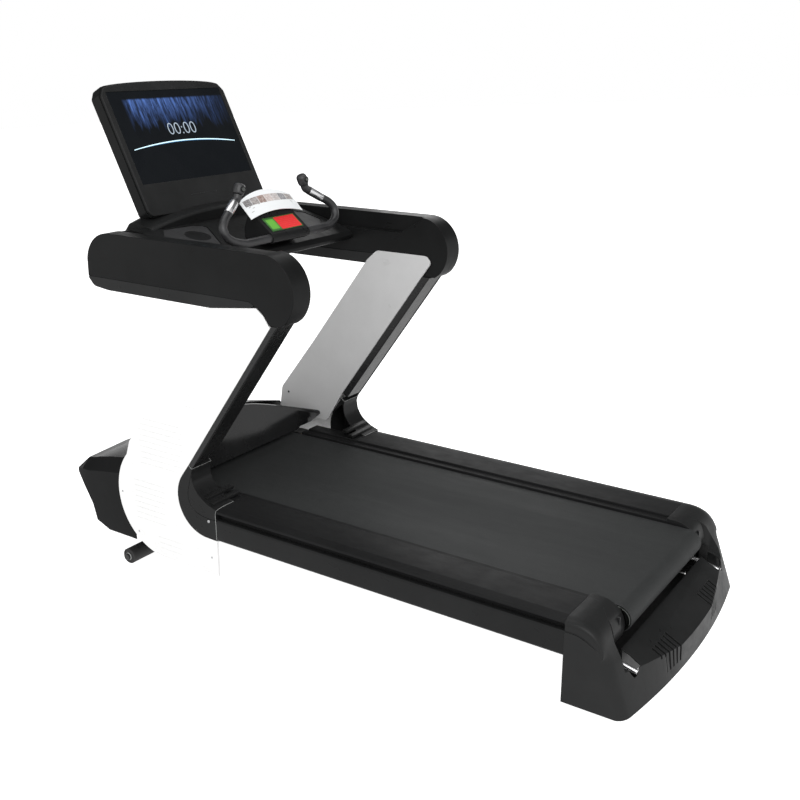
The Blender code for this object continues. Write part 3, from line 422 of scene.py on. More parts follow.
BLACK = (0.0125, 0.0128, 0.0130)
FINISH = {
    "satin": coated("satin_plastic", BLACK, 0.33, shine=0.15),
    "rail": coated("rail_plastic", (0.0135, 0.0137, 0.014), 0.46, shine=0.08),
    "arm": coated("arm_plastic", (0.0098, 0.0101, 0.0102), 0.36, shine=0.09),
    "nose": coated("nose_plastic", (0.011, 0.0112, 0.0115), 0.22, vary=0.03, shine=0.07),
    "stud": brushed("stud_metal", (0.10, 0.105, 0.10), 0.22, along=(20.0, 20.0, 20.0)),
    "trim": coated("trim_plastic", (0.017, 0.0174, 0.0176), 0.36, shine=0.15),
    "cap": coated("cap_plastic", (0.0170, 0.0174, 0.0175), 0.36, shine=0.16),
    "tray": coated("tray_plastic", (0.026, 0.0262, 0.027), 0.42, grain=0.00009, grain_scale=600.0,
                   shine=0.3),
    "gloss": coated("gloss_plastic", (0.0145, 0.0147, 0.015), 0.15, grain=0.00001, vary=0.03, coat=0.15,
                    shine=0.3),
    "paint": coated("frame_paint", (0.018, 0.018, 0.019), 0.42, metallic=0.1, grain=0.00010,
                    grain_scale=420.0, edge_wear_and_highlight_colour=(0.09, 0.09, 0.09)),
    "mast": coated("mast_paint", (0.017, 0.0172, 0.0175), 0.26, grain=0.00002, shine=0.3),
    # Inner skins of the white side panels, painted mid grey: a shaded copy of the white enamel that
    # stands in for the shade between the masts.
    "panel": coated("inner_skin_painted_shade", (0.58, 0.58, 0.58), 0.34, grain=0.00003, grain_scale=260.0,
                    edge_wear_and_highlight_colour=(0.6, 0.6, 0.6), tint=0.05, shine=0.4),
    "white": coated("white_enamel", (0.94, 0.94, 0.935), 0.30, grain=0.00003, grain_scale=260.0,
                    vary=0.04, edge_wear_and_highlight_colour=(0.93, 0.93, 0.93), tint=0.02),
    "grey": coated("grey_enamel", (0.22, 0.22, 0.23), 0.45, metallic=0.3, edge_wear_and_highlight_colour=(0.5, 0.5, 0.5)),
    "green": coated("green_key", (0.045, 0.16, 0.035), 0.42, edge_wear_and_highlight_colour=(0.12, 0.30, 0.08), tint=0.1,
                    shine=0.3),
    "red": coated("red_key", (0.70, 0.028, 0.03), 0.42, edge_wear_and_highlight_colour=(0.80, 0.12, 0.12), tint=0.08, shine=0.3),
    "sheet": coated("sheet_white", (0.82, 0.84, 0.85), 0.34, grain=0.00001, edge_wear_and_highlight_colour=(0.9, 0.9, 0.9),
                    tint=0.02),
    # Pale grey: printed marks and hub rings, and also the painted highlights along the seams.
    "pale": coated("pale_line", (0.42, 0.43, 0.42), 0.4, edge_wear_and_highlight_colour=(0.6, 0.6, 0.6)),
    # Near-black: screws and a lens, and also painted shade under the louvres and in the foot pockets.
    "dark": coated("deep_black", (0.004, 0.004, 0.004), 0.6, edge_wear_and_highlight_colour=(0.01, 0.01, 0.01)),
    "belt": belt_cloth("belt_rubber"),
    "steel": brushed("brushed_steel", (0.78, 0.78, 0.79), 0.26),
    "screw": brushed("screw_steel", (0.55, 0.55, 0.56), 0.32, along=(20.0, 20.0, 20.0)),
    "cast": brushed("cast_aluminium", (0.50, 0.51, 0.52), 0.45, along=(6.0, 6.0, 6.0)),
    "rubber": rubber_skin("black_rubber"),
    "grip": rubber_skin("grip_rubber", (0.016, 0.016, 0.017), 0.36),
    "board": board_fibre("pressed_board"),
}


# ---- building blocks
def mesh_of(form):
    """The form as a mesh with its normals outwards."""
    bmesh.ops.recalc_face_normals(form, faces=form.faces)
    mesh = bpy.data.meshes.new("form")
    form.to_mesh(mesh)
    form.free()
    return mesh


def baked(obj, *others):
    """The object's final mesh; the object and the others are deleted."""
    mesh = bpy.data.meshes.new_from_object(obj.evaluated_get(bpy.context.evaluated_depsgraph_get()))
    for used in (obj, *others):
        bpy.data.objects.remove(used, do_unlink=True)
    return mesh


def arc(centre, radius, start, end, steps):
    """Points round a centre, with angles in degrees."""
    angles = [math.radians(start + (end - start) * k / steps) for k in range(steps + 1)]
    return [(centre[0] + radius * math.cos(a), centre[1] + radius * math.sin(a)) for a in angles]


def rounded(points, radius=0.0, steps=5, close=True):
    """An outline with rounded corners; a point may carry its own radius as a third value."""
    out = []
    count = len(points)
    for k, point in enumerate(points):
        corner = Vector(point[:2])
        bend = point[2] if len(point) > 2 else radius
        before, after = Vector(points[k - 1][:2]) - corner, Vector(points[(k + 1) % count][:2]) - corner
        if bend <= 0 or (not close and k in (0, count - 1)):
            out.append(tuple(corner))
            continue
        half = before.angle(after) / 2
        if half > math.radians(89.95):
            out.append(tuple(corner))
            continue
        reach = min(bend / math.tan(half), 0.49 * before.length, 0.49 * after.length)
        bend = reach * math.tan(half)
        inwards = (before.normalized() + after.normalized()).normalized()
        middle = corner + inwards * (bend / math.sin(half))
        start = corner + before.normalized() * reach - middle
        end = corner + after.normalized() * reach - middle
        sweep = start.angle_signed(end)
        for n in range(steps + 1):
            a = -sweep * n / steps
            out.append((middle.x + start.x * math.cos(a) - start.y * math.sin(a),
                        middle.y + start.x * math.sin(a) + start.y * math.cos(a)))
    return out


def prism(outline, low, high, across=ALONG_X):
    """A flat outline given thickness from low to high."""
    form = bmesh.new()
    ends = [[form.verts.new((u, v, level)) for u, v in outline] for level in (low, high)]
    for k in range(len(outline)):
        n = (k + 1) % len(outline)
        form.faces.new((ends[0][k], ends[0][n], ends[1][n], ends[1][k]))
    form.faces.new(ends[0])
    form.faces.new(ends[1])
    bmesh.ops.transform(form, matrix=across, verts=form.verts)
    return mesh_of(form)


def block(x, y, z):
    """A box from its (low, high) pair on each axis."""
    return prism([(x[0], y[0]), (x[1], y[0]), (x[1], y[1]), (x[0], y[1])], *z, ALONG_Z)


def loft(rings, closed=False):
    """A solid through rings with equal counts of points; closed joins the last ring to the first."""
    form = bmesh.new()
    rows = [[form.verts.new(point) for point in ring] for ring in rings]
    for row, following in zip(rows, rows[1:] + (rows[:1] if closed else [])):
        for k in range(len(row)):
            n = (k + 1) % len(row)
            form.faces.new((row[k], row[n], following[n], following[k]))
    if not closed:
        form.faces.new(rows[0])
        form.faces.new(rows[-1])
    bmesh.ops.remove_doubles(form, verts=form.verts, dist=1e-6)
    return mesh_of(form)


def turned(rows, steps):
    """A solid through rings of points round Z; a ring of one point closes an end."""
    form = bmesh.new()
    rows = [[form.verts.new(point) for point in row] for row in rows]
    for row, following in zip(rows, rows[1:]):
        for k in range(steps):
            n = (k + 1) % steps
            corners = [row[k % len(row)], row[n % len(row)], following[n % len(following)],
                       following[k % len(following)]]
            form.faces.new(list(dict.fromkeys(corners)))
    return mesh_of(form)


def lathe(profile, steps=40):
    """A solid turned about Z from (radius, height) points that start and end on the axis."""
    rows = []
    for radius, height in profile:
        angles = [2 * math.pi * k / steps for k in range(steps if radius else 1)]
        rows.append([(radius * math.cos(a), radius * math.sin(a), height) for a in angles])
    return turned(rows, steps)


def rod(radius, low, high, edge=0.0008, steps=40):
    """A round bar along Z with broken edges."""
    return lathe([(0, low), (radius - edge, low), (radius, low + edge), (radius, high - edge),
                  (radius - edge, high), (0, high)], steps)


def tube(points, radius, sides=8, radii=None):
    """A round bar along points."""
    curve = bpy.data.curves.new("bar", "CURVE")
    curve.dimensions = "3D"
    curve.bevel_depth = radius
    curve.bevel_resolution = sides
    curve.use_fill_caps = True
    spline = curve.splines.new("POLY")
    spline.points.add(len(points) - 1)
    for k, (point, place_at) in enumerate(zip(spline.points, points)):
        point.co = (*place_at, 1)
        point.radius = radii[k] if radii else 1.0
    form = bmesh.new()
    form.from_mesh(baked(placed("bar", curve)))
    bmesh.ops.remove_doubles(form, verts=form.verts, dist=1e-6)
    return mesh_of(form)


def moved(mesh, at=(0, 0, 0), turn=(0, 0, 0)):
    """The mesh turned, then carried to a place in the deck's frame."""
    mesh.transform(Matrix.Translation(at) @ Euler(turn).to_matrix().to_4x4())
    return mesh


def aimed(mesh, at, direction):
    """The mesh with its Z along a direction, at a place."""
    turn = Vector((0, 0, 1)).rotation_difference(Vector(direction)).to_matrix().to_4x4()
    mesh.transform(Matrix.Translation(at) @ turn)
    return mesh


def fused(*meshes):
    """Several meshes as one, without joining their surfaces."""
    form = bmesh.new()
    for mesh in meshes:
        form.from_mesh(mesh)
    mesh = bpy.data.meshes.new("form")
    form.to_mesh(mesh)
    form.free()
    return mesh


def combine(mesh, others, operation):
    """The mesh with others cut away or welded on."""
    base = placed("base", mesh)
    tools = [placed("tool", other) for other in others]
    for tool in tools:
        boolean = base.modifiers.new("boolean", "BOOLEAN")
        boolean.operation = operation
        boolean.object = tool
        boolean.solver = "EXACT"
    return baked(base, *tools)


def cut(mesh, *others):
    """The mesh less the others."""
    return combine(mesh, others, "DIFFERENCE")


def weld(mesh, *others):
    """The mesh joined with the others."""
    return combine(mesh, others, "UNION")


def soften(obj, width, segments=3, angle=38, rule=None):
    """Rounds the sharp edges; a rule gives an edge's share of the width from its middle."""
    bevel = obj.modifiers.new("rounded edges", "BEVEL")
    bevel.width = width
    bevel.segments = segments
    bevel.angle_limit = math.radians(angle)
    bevel.limit_method = "ANGLE"
    bevel.harden_normals = True
    if not rule:
        return
    bevel.limit_method = "WEIGHT"
    form = bmesh.new()
    form.from_mesh(obj.data)
    weights = form.edges.layers.float.new("bevel_weight_edge")
    for edge in form.edges:
        if len(edge.link_faces) == 2 and edge.calc_face_angle() > math.radians(angle):
            edge[weights] = rule((edge.verts[0].co + edge.verts[1].co) / 2)
    form.to_mesh(obj.data)
    form.free()


def piece(name, mesh, finish, stands_for=(), body="deck", soft=0.0, segments=3, angle=38,
          matrix=None, rule=None):
    """A visible piece in the deck's frame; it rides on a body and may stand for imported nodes."""
    mesh.materials.clear()
    mesh.materials.append(FINISH[finish] if isinstance(finish, str) else finish)
    mesh.shade_smooth()
    mesh.set_sharp_from_angle(angle=math.radians(angle))
    obj = placed(name, mesh)
    obj.matrix_world = DECK @ (matrix or Matrix.Identity(4))
    if soft:
        soften(obj, soft, segments, angle, rule)
    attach(obj, body)
    if stands_for:
        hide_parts(*([stands_for] if isinstance(stands_for, str) else stands_for))
    return obj


def screw_mesh(radius, height, steps=36):
    """A button head with a hexagon socket, standing on Z = 0."""
    profile = [(0, 0.25), (0.5, 0.25), (0.52, 0.95), (0.62, 1.0), (0.8, 0.86), (0.94, 0.55),
               (1.0, 0.12), (1.0, -0.3), (0, -0.3)]
    rows = []
    for n, (share, rise) in enumerate(profile):
        row = []
        for k in range(steps if share else 1):
            a = 2 * math.pi * k / steps
            flat = math.cos(math.pi / 6) / math.cos((a % (math.pi / 3)) - math.pi / 6)
            r = radius * share * (flat if n in (1, 2) else 1.0)
            row.append((r * math.cos(a), r * math.sin(a), rise * height))
        rows.append(row)
    return turned(rows, steps)


def screws(name, places, direction, radius=0.0042, finish="screw"):
    """A row of screws as one piece each, all facing one way."""
    for k, at in enumerate(places, 1):
        mesh = aimed(screw_mesh(radius, radius * 0.45), at, direction)
        piece(f"{name}_{k}", mesh, finish, angle=30)


def span(side, inner, outer):
    """The range from inner to outer on that side, in order."""
    return tuple(sorted((side * inner, side * outer)))


def flipped(side, outline):
    """The outline's points with their first value on that side."""
    return [(side * point[0], *point[1:]) for point in outline]


def mirrored(side, point):
    """The point on that side of the machine."""
    return Vector((side * point[0], point[1], point[2]))


def leaning(origin, tilt):
    """A plane's matrix: its place, and its turn about X."""
    return Matrix.Translation(origin) @ Matrix.Rotation(tilt, 4, "X")


def smooth_path(points, steps):
    """Catmull-Rom points through the given ones, in two or three dimensions."""
    points = [Vector(point) for point in points]
    padded = [2 * points[0] - points[1], *points, 2 * points[-1] - points[-2]]
    found = []
    for a, b, c, d in zip(padded, padded[1:], padded[2:], padded[3:]):
        for k in range(steps):
            t = k / steps
            found.append(0.5 * (2 * b + (c - a) * t + (2 * a - 5 * b + 4 * c - d) * t * t
                                + (3 * b - a - 3 * c + d) * t ** 3))
    return found + [points[-1]]


def flat_path(points, steps):
    """A smooth path as plain tuples."""
    return [tuple(point) for point in smooth_path(points, steps)]


def up_mast(distance, depth):
    """The (y, z) point that far up a mast from its foot, and that deep behind its rear face."""
    lean = (-math.cos(MAST_ANGLE), math.sin(MAST_ANGLE))
    ahead = (math.sin(MAST_ANGLE), math.cos(MAST_ANGLE))
    return tuple(MAST_FOOT[k] + distance * lean[k] + depth * ahead[k] for k in (0, 1))


def mast_at(height, depth):
    """The (y, z) point of a mast at that height and depth."""
    start = up_mast(0, depth)
    return up_mast((height - start[1]) / math.sin(MAST_ANGLE), depth)


# ---- belt and rollers
def running_belt():
    """Endless belt round both rollers, with softened edges."""
    path = []
    for centre, start in ((REAR_ROLLER_Y, 90), (FRONT_ROLLER_Y, -90)):
        for k in range(37):
            a = math.radians(start + 180 * k / 36)
            path.append((centre, math.cos(a), math.sin(a)))
    soft = 0.0006
    inner, outer = BELT_INSIDE, BELT_INSIDE + BELT_THICK
    section = [(-BELT_HALF, inner + soft), (-BELT_HALF + soft, inner), (BELT_HALF - soft, inner),
               (BELT_HALF, inner + soft), (BELT_HALF, outer - soft), (BELT_HALF - soft, outer),
               (-BELT_HALF + soft, outer), (-BELT_HALF, outer - soft)]
    rings = [[(x, centre + r * y, ROLLER_Z + r * z) for x, r in section] for centre, y, z in path]
    piece("belt", loft(rings, closed=True), "belt", "running_belt")


def rear_roller():
    """Crowned steel tube with recessed end discs on a turned shaft."""
    profile = [(0, -0.335), (0.0092, -0.335), (0.010, -0.334), (0.010, -0.2875), (0.014, -0.2875),
               (0.015, -0.286), (0.030, -0.286), (0.031, -0.2895), (0.0365, -0.290), (0.0372, -0.289)]
    whole = profile + [(radius, -height) for radius, height in reversed(profile)]
    mesh = moved(lathe(whole, 72), turn=(0, math.pi / 2, 0))
    piece("rear_roller_tube", moved(mesh, (0, REAR_ROLLER_Y, ROLLER_Z)), "stud", "rear_roller",
          body="rear_roller")


def tension_bolts():
    """Plain bright rods that adjust the rear roller, tilted up towards the rear."""
    turn = (math.radians(-78), 0, 0)
    for name, side in SIDES:
        shank = moved(rod(0.0080, -0.058, 0.0445, 0.0006), (side * 0.348, 0.064, 0.102), turn)
        piece(f"belt_adjuster_{name}", shank, "steel", f"tension_bolt_{name}", angle=25)


def belt_guards():
    """Low lips beside the belt, and cheeks that close the cap's wings behind the rear roller."""
    lip = [(1.655, 0.2425), (1.655, 0.150)] + flat_path(
        [(0.079, 0.151), (0.0745, 0.172), (0.075, 0.192), (0.088, 0.223), (0.122, 0.2410),
         (0.160, 0.2425)], 5)
    cheek = flat_path([(0.079, 0.151), (0.0745, 0.172), (0.076, 0.194), (0.090, 0.226), (0.122, 0.2455),
                       (0.150, 0.2499)], 5) + [(0.1752, 0.2499), (0.1752, 0.151)]
    for name, side in SIDES:
        for title, outline, reach, finish in (("belt_guard", lip, (0.2885, 0.3155), "rail"),
                                              ("wing_cheek", cheek, (0.2890, 0.366), "cap")):
            bore = moved(rod(0.0125, 0.27, 0.34), (0, REAR_ROLLER_Y, ROLLER_Z),
                         (0, side * math.pi / 2, 0))
            body = cut(prism(outline, *span(side, *reach)), bore)
            piece(f"{title}_{name}", body, finish, soft=0.0015)


# ---- rails and end cap
def foot_rails():
    """Top covers with a rounded shoulder, and the side skirts under the groove."""
    y0, y1 = CAP_FRONT + GAP, CORNER_REAR - GAP
    for name, side in SIDES:
        outline = [(RAIL_INNER, BEAM_TOP + GAP), (RAIL_INNER, RAIL_TOP, 0.002), (0.428, 0.2492, 0.03),
                   (0.4570, 0.2440, 0.009), (0.4582, 0.2362, 0.002), (GROOVE - GAP, 0.2345, 0.002),
                   (GROOVE - GAP, 0.170), (GROOVE - WALL, 0.170),
                   (GROOVE - WALL, 0.232), (0.424, 0.240), (RAIL_INNER + WALL, 0.246),
                   (RAIL_INNER + WALL, BEAM_TOP + GAP)]
        rail = prism(rounded(flipped(side, outline), steps=6), -y1, -y0, ALONG_Y)
        piece(f"rail_cover_{name}", rail, "rail", f"foot_rail_{name}", soft=0.0008, angle=50)
        tongue = [(RAIL_INNER, 0.2225), (RAIL_INNER, 0.2498, 0.002), (0.366, 0.2498), (0.366, 0.246),
                  (RAIL_INNER + WALL, 0.246), (RAIL_INNER + WALL, 0.2225)]
        tongue = prism(rounded(flipped(side, tongue)), -1.64, -y1 + 0.0003, ALONG_Y)
        piece(f"rail_tongue_{name}", tongue, "satin")
        skirt = [(GROOVE, 0.2100), (GROOVE, 0.2145), (0.4565, 0.2145, 0.003),
                 (HALF_WIDTH, 0.2090, 0.005), (HALF_WIDTH, 0.146, 0.004), (0.455, RAIL_BOTTOM, 0.003),
                 (0.385, RAIL_BOTTOM), (0.385, RAIL_BOTTOM + WALL), (0.451, RAIL_BOTTOM + WALL),
                 (0.456, 0.150), (0.456, 0.206), (0.452, 0.2100)]
        piece(f"skirt_{name}", prism(rounded(flipped(side, skirt)), -y1, -y0, ALONG_Y), "satin",
              f"rail_skirt_{name}", soft=0.0006, angle=50)


def ease(share):
    """Quarter-ellipse fall from 0 to 1."""
    return 1 - math.sqrt(max(0.0, 1 - min(1.0, share) ** 2))


def cap_section(x, inset=0.0):
    """Side outline of the end cap at that distance from the middle, bowed in plan."""
    wing = min(1.0, max(0.0, (abs(x) - 0.13) / 0.31))
    corner = max(0.0, abs(x) - 0.425) / (HALF_WIDTH - 0.425 - inset)
    foot = -0.045 + 0.036 * (x / 0.43) ** 2 + 0.026 * ease(corner) + inset
    knee = (foot + 0.004 + 0.050 * wing, 0.083 + 0.067 * wing)
    drop = 0.013 * ease(corner) + inset
    front = CAP_FRONT + (0.05 if inset else 0)
    low = -0.05 if inset else 0.0
    top = [(front, 0.2499), (0.150, 0.2499), (0.122, 0.2455), (0.096, 0.234), (0.076, 0.214),
           (0.062, 0.186)]
    top = [(y + inset * 0.7, z - drop) for y, z in top]
    top = flat_path([*top, (knee[0] * 0.9 + 0.1 * top[-1][0], knee[1] * 0.9 + 0.1 * top[-1][1])], 5)
    tail = rounded([top[-2], (knee[0], knee[1], 0.007), (foot, low + 0.001)], close=False)[1:]
    return [(x, y, z) for y, z in [(front, low), *top[:-1], *tail, (foot + 0.001, low)]]


def cap_opening(margin=0.0):
    """The space over the plate, open to the belt; it flares out between the wings."""
    half = RAIL_INNER + margin
    right = [(half, 0.30), (half, 0.135 + margin, 0.03), (0.362 + margin, 0.100 + margin, 0.02),
             (0.392 + margin, 0.062, 0.02), (0.402 + margin, 0.010), (0.402 + margin, -0.12)]
    plan = rounded(right, steps=4, close=False)
    plan = plan + [(-x, y) for x, y in reversed(plan)]
    edge = 0.066 - margin
    over = [(0.31, -0.10), (edge, -0.10), (edge, 0.131 - margin), (0.062, 0.131 - margin),
            (-0.13, 0.0287 - margin), (-0.13, 0.31), (0.31, 0.31)]
    return combine(prism(plan, -0.12, 0.32, ALONG_Z), [prism(over, -0.5, 0.5)], "INTERSECT")


def cap_tools(side):
    """What is cut from one side of the end cap: foot and rod pockets, louvres, a shallow band."""
    tools = [moved(rod(0.033, 0.06, 0.18, steps=56), (side * FOOT_X, FOOT_Y, 0)),
             block(span(side, 0.3172, 0.372), (0.07, 0.20), (0.10, 0.223)),
             block(span(side, 0.326, 0.370), (0.008, 0.20), (0.074, 0.223)),
             block(span(side, 0.3172, 0.376), (0.115, 0.20), (-0.02, 0.12))]
    louvre = [(0.012, 0.13), (0.012, 0.098), (-0.022, 0.078), (-0.030, 0.032), (-0.090, 0.032),
              (-0.090, 0.13)]
    for k in range(6):
        x = side * (0.135 + 0.020 * k)
        tools.append(prism(louvre, x - 0.004, x + 0.004))
    upper = flat_path([(0.185, 0.2355), (0.128, 0.2350), (0.096, 0.2190), (0.068, 0.1880)], 5)
    lower = flat_path([(0.185, 0.2130), (0.138, 0.2110), (0.101, 0.1960), (0.072, 0.1790)], 5)
    band = []
    for k, ((y0, z0), (y1, z1)) in enumerate(zip(upper, lower)):
        deep = HALF_WIDTH - 0.0028 * (1 - (k / (len(upper) - 1)) ** 3) - 0.0003
        band.append([(side * deep, y0, z0), (side * 0.48, y0, z0), (side * 0.48, y1, z1),
                     (side * deep, y1, z1)])
    return [*tools, loft(band)]


def rear_cap():
    """Moulded end cap: two wings down to the floor and a louvred plate between them; near-black pieces
    under the louvres and in the foot pockets are painted shade.
    """
    half = [0.424 * k / 26 for k in range(27)]
    half += [0.425 + 0.035 * math.sin(math.radians(9 * k)) for k in range(1, 11)]
    stations = [-x for x in reversed(half[1:])] + half
    inside = [x * (HALF_WIDTH - WALL) / HALF_WIDTH for x in stations]
    backing = [block(span(side, 0.122, 0.248), (-0.10, 0.02), (0.024, 0.12)) for side in (-1, 1)]
    hollow = cut(loft([cap_section(x, WALL) for x in inside]), cap_opening(WALL), fused(*backing))
    tools = [cap_opening(), hollow, *cap_tools(-1), *cap_tools(1)]
    cap = cut(loft([cap_section(x) for x in stations]), *tools)
    piece("end_cap", cap, "cap", "rear_cap", soft=0.0011, segments=2, angle=42)
    # Near-black pan under the louvres: painted shade, so the slots look dark inside instead of showing
    # the pale floor.
    pan = [(0.060, 0.124), (0.064, 0.124), (0.076, 0.062), (0.176, 0.062), (0.176, 0.058),
           (0.072, 0.058)]
    piece("louvre_shade_pan", prism(pan, -0.3150, 0.3150), "dark", soft=0.0004, segments=2)
    for name, side in SIDES:
        # Floors that close the foot pockets, in near-black: their colour is painted shade for the
        # hollow above the feet.
        floor = fused(moved(rod(0.0345, 0.054, 0.058, steps=48), (side * FOOT_X, FOOT_Y, 0)),
                      block(span(side, 0.3155, 0.376), (0.004, 0.176), (0.066, 0.070)),
                      block(span(side, 0.372, 0.376), (0.06, 0.176), (0.070, 0.150)))
        piece(f"pocket_floor_painted_shade_{name}", floor, "dark")


def rear_feet():
    """Rubber pads with a groove, flat on the floor under the threaded feet."""
    for name in ("left", "right"):
        low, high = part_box(f"rear_foot_{name}")
        centre = (low + high) / 2
        profile = [(0, 0.0), (0.0195, 0.0), (0.0215, 0.0012), (0.022, 0.003), (0.0205, 0.0045),
                   (0.022, 0.006), (0.022, 0.008), (0.019, 0.0102), (0.0105, 0.0105), (0.010, 0.0112),
                   (0.010, 0.0162), (0, 0.0165)]
        obj = piece(f"levelling_foot_{name}", lathe(profile, 48), "rubber", f"rear_foot_{name}",
                    angle=30)
        obj.matrix_world = Matrix.Translation((centre.x, centre.y, 0.0001))
        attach(obj, "deck")


# ---- masts, corners and side panels
def lower_corners():
    """Curved covers where the rails turn up into the masts, with two steps, and pale lines along the
    seams as painted highlights.
    """
    outer = [(CORNER_REAR, RAIL_BOTTOM + GAP)] + arc(CORNER_CENTRE, CORNER_R, -90, 36, 32)
    neck = flat_path([(1.5085, 0.356), (1.5085, 0.345), (1.5035, 0.318), (1.483, 0.288),
                      (1.452, 0.266), (1.43, 0.2565)], 6)
    outline = outer + [up_mast(0, MAST_STRIP), up_mast(0, 0)] + neck + [(CORNER_REAR, RAIL_TOP)]
    inside = (arc(CORNER_CENTRE, CORNER_R - WALL, -95, 30, 20)
              + [(1.515, 0.36), (1.5135, 0.350), (1.508, 0.316), (1.486, 0.283), (1.452, 0.261),
                 (1.43, 0.250)])
    band = flat_path([(1.405, 0.2125), (1.464, 0.2150), (1.499, 0.2260), (1.522, 0.2500),
                      (1.528, 0.2810), (1.519, 0.3160), (1.503, 0.372)], 8)
    proud = HALF_WIDTH + SEAM_LIFT
    joint = ((proud, 0.142), (proud, 0.212), (proud, 0.236), (0.4575, 0.2455), (0.445, 0.2488),
             (0.424, 0.2502), (0.372, 0.2504))
    for name, side in SIDES:
        groove = tube([(side * HALF_WIDTH, y, z) for y, z in band], 0.0018, 3)
        shell = cut(prism(outline, *span(side, MAST_INNER, HALF_WIDTH)),
                    prism(inside, *span(side, MAST_INNER - 0.01, HALF_WIDTH - WALL)), groove)
        piece(f"corner_cover_{name}", shell, "satin", f"lower_corner_{name}", soft=0.006, segments=4,
              rule=lambda middle: 1.0 if abs(abs(middle.x) - HALF_WIDTH) < 0.001 else 0.35)
        for k, (y, z) in enumerate(((1.440, 0.2595), (1.468, 0.2735)), 1):
            step = rounded([(y - 0.012, z - 0.006), (y - 0.012, z + 0.0035, 0.002),
                            (y + 0.006, z + 0.0065, 0.002), (y + 0.012, z - 0.003)])
            step = prism(step, *span(side, 0.3185, 0.447))
            piece(f"corner_step_{name}_{k}", step, "satin", soft=0.001)
        # Pale lines along the seams, round the mast's foot and across the rail's end: painted
        # highlights where the seam edges catch the light.
        rear, near, far = up_mast(0, -SEAM_LIFT), side * proud, side * (MAST_INNER - SEAM_LIFT)
        seam = [(near, *up_mast(0, MAST_STRIP)), (near, *rear), (far, *rear),
                (far, *up_mast(0, MAST_DEPTH))]
        piece(f"mast_seam_highlight_{name}", tube(seam, SEAM_R, 2), "pale")
        seam = [(side * x, CORNER_REAR, z) for x, z in joint]
        piece(f"rail_seam_highlight_{name}", tube(seam, SEAM_R, 2), "pale")
        screws(f"corner_screw_{name}", [(side * HALF_WIDTH, 1.442, 0.203)], (side, 0, 0), 0.0052)


def masts():
    """Slanted uprights: a thin strip outside and a deeper core inside."""
    low, top = 0.0005, ARM_BOTTOM - 0.0635
    strip = [up_mast(low, 0), up_mast(low, MAST_STRIP), mast_at(top, MAST_STRIP), mast_at(top, 0)]
    core = [up_mast(low + 0.02, 0.001), up_mast(low + 0.02, MAST_DEPTH), mast_at(top, MAST_DEPTH),
            mast_at(top, 0.001)]
    for name, side in SIDES:
        outer = prism(strip, *span(side, STRIP_INNER, HALF_WIDTH))
        inner = prism(core, *span(side, MAST_INNER, STRIP_INNER - 0.002))
        piece(f"upright_strip_{name}", outer, "mast", f"mast_{name}", soft=0.0022)
        piece(f"upright_core_{name}", inner, "mast", soft=0.003)


def side_panels():
    """White panels ahead of the masts: outer and inner skins and the flank between them."""
    nudge = MAST_STRIP + GAP
    outer = ([up_mast(0.0, nudge), mast_at(0.893, nudge), (1.153, 0.899), (1.173, 0.927),
              (1.198, 0.9460), (1.400, 0.9210), (1.790, 0.410)]
             + arc((1.654, 0.220), 0.208, 42, -90, 56) + [(CORNER_REAR, 0.012),
             (CORNER_REAR, RAIL_BOTTOM - GAP)]
             + arc(CORNER_CENTRE, CORNER_R + 0.0009, -90, 36, 32))
    deep = MAST_DEPTH + GAP
    inner = rounded([up_mast(0.012, deep), mast_at(0.915, deep), (*mast_at(0.952, deep), 0.015),
                     (1.138, 0.975, 0.02), (1.350, 0.975, 0.03), (1.392, 0.938, 0.03),
                     (1.645, 0.600, 0.9), (1.817, 0.380, 0.04), (1.829, 0.300), (1.815, 0.276),
                     (1.600, 0.276), (1.585, 0.290)])
    vents = ((1.45, 1.52, 0.585, 0.625), (1.54, 1.74, 0.345, 0.505), (1.64, 1.78, 0.135, 0.275),
             (1.57, 1.68, 0.045, 0.095))
    pitch = 0.02
    for name, side in SIDES:
        slots = []
        for y0, y1, z0, z1 in vents:
            for k in range(int((z1 - z0) / pitch) + 1):
                z = z0 + pitch * k
                slots.append(block(span(side, 0.4594, 0.47), (y0, y1), (z, z + 0.0012)))
        skin = cut(prism(outer, *span(side, STRIP_INNER, HALF_WIDTH)), fused(*slots))
        piece(f"outer_panel_{name}", skin, "white", f"side_panel_{name}", soft=0.0012, segments=2,
              angle=50)
        # The inner skin is the white panel coloured grey, as painted shade.
        lining = prism(inner, *span(side, LINING_INNER, 0.3793))
        piece(f"inner_panel_{name}", lining, "panel", soft=0.0016)
        rows = []
        for k in range(25):
            t = k / 24
            x, y, z = side * (HALF_WIDTH - 0.0076), 1.397 + 0.391 * t, 0.921 - 0.511 * t
            u, v, w = side * 0.3794, 1.4015 + 0.408 * t, 0.921 - 0.533 * t
            rows.append([(x, y, z), (u, v, w), (u, v - 0.006, w), (x, y - 0.006, z)])
        piece(f"panel_flank_{name}", loft(rows), "white", soft=0.0006)
        places = [(side * HALF_WIDTH, y, z)
                  for y, z in ((1.844, 0.215), (1.777, 0.081), (1.437, 0.074))]
        screws(f"panel_screw_{name}", places, (side, 0, 0), 0.0036)
        places = [(side * LINING_INNER, 1.783, 0.363)]
        screws(f"inner_screw_{name}", places, (-side, 0, 0), finish="dark")


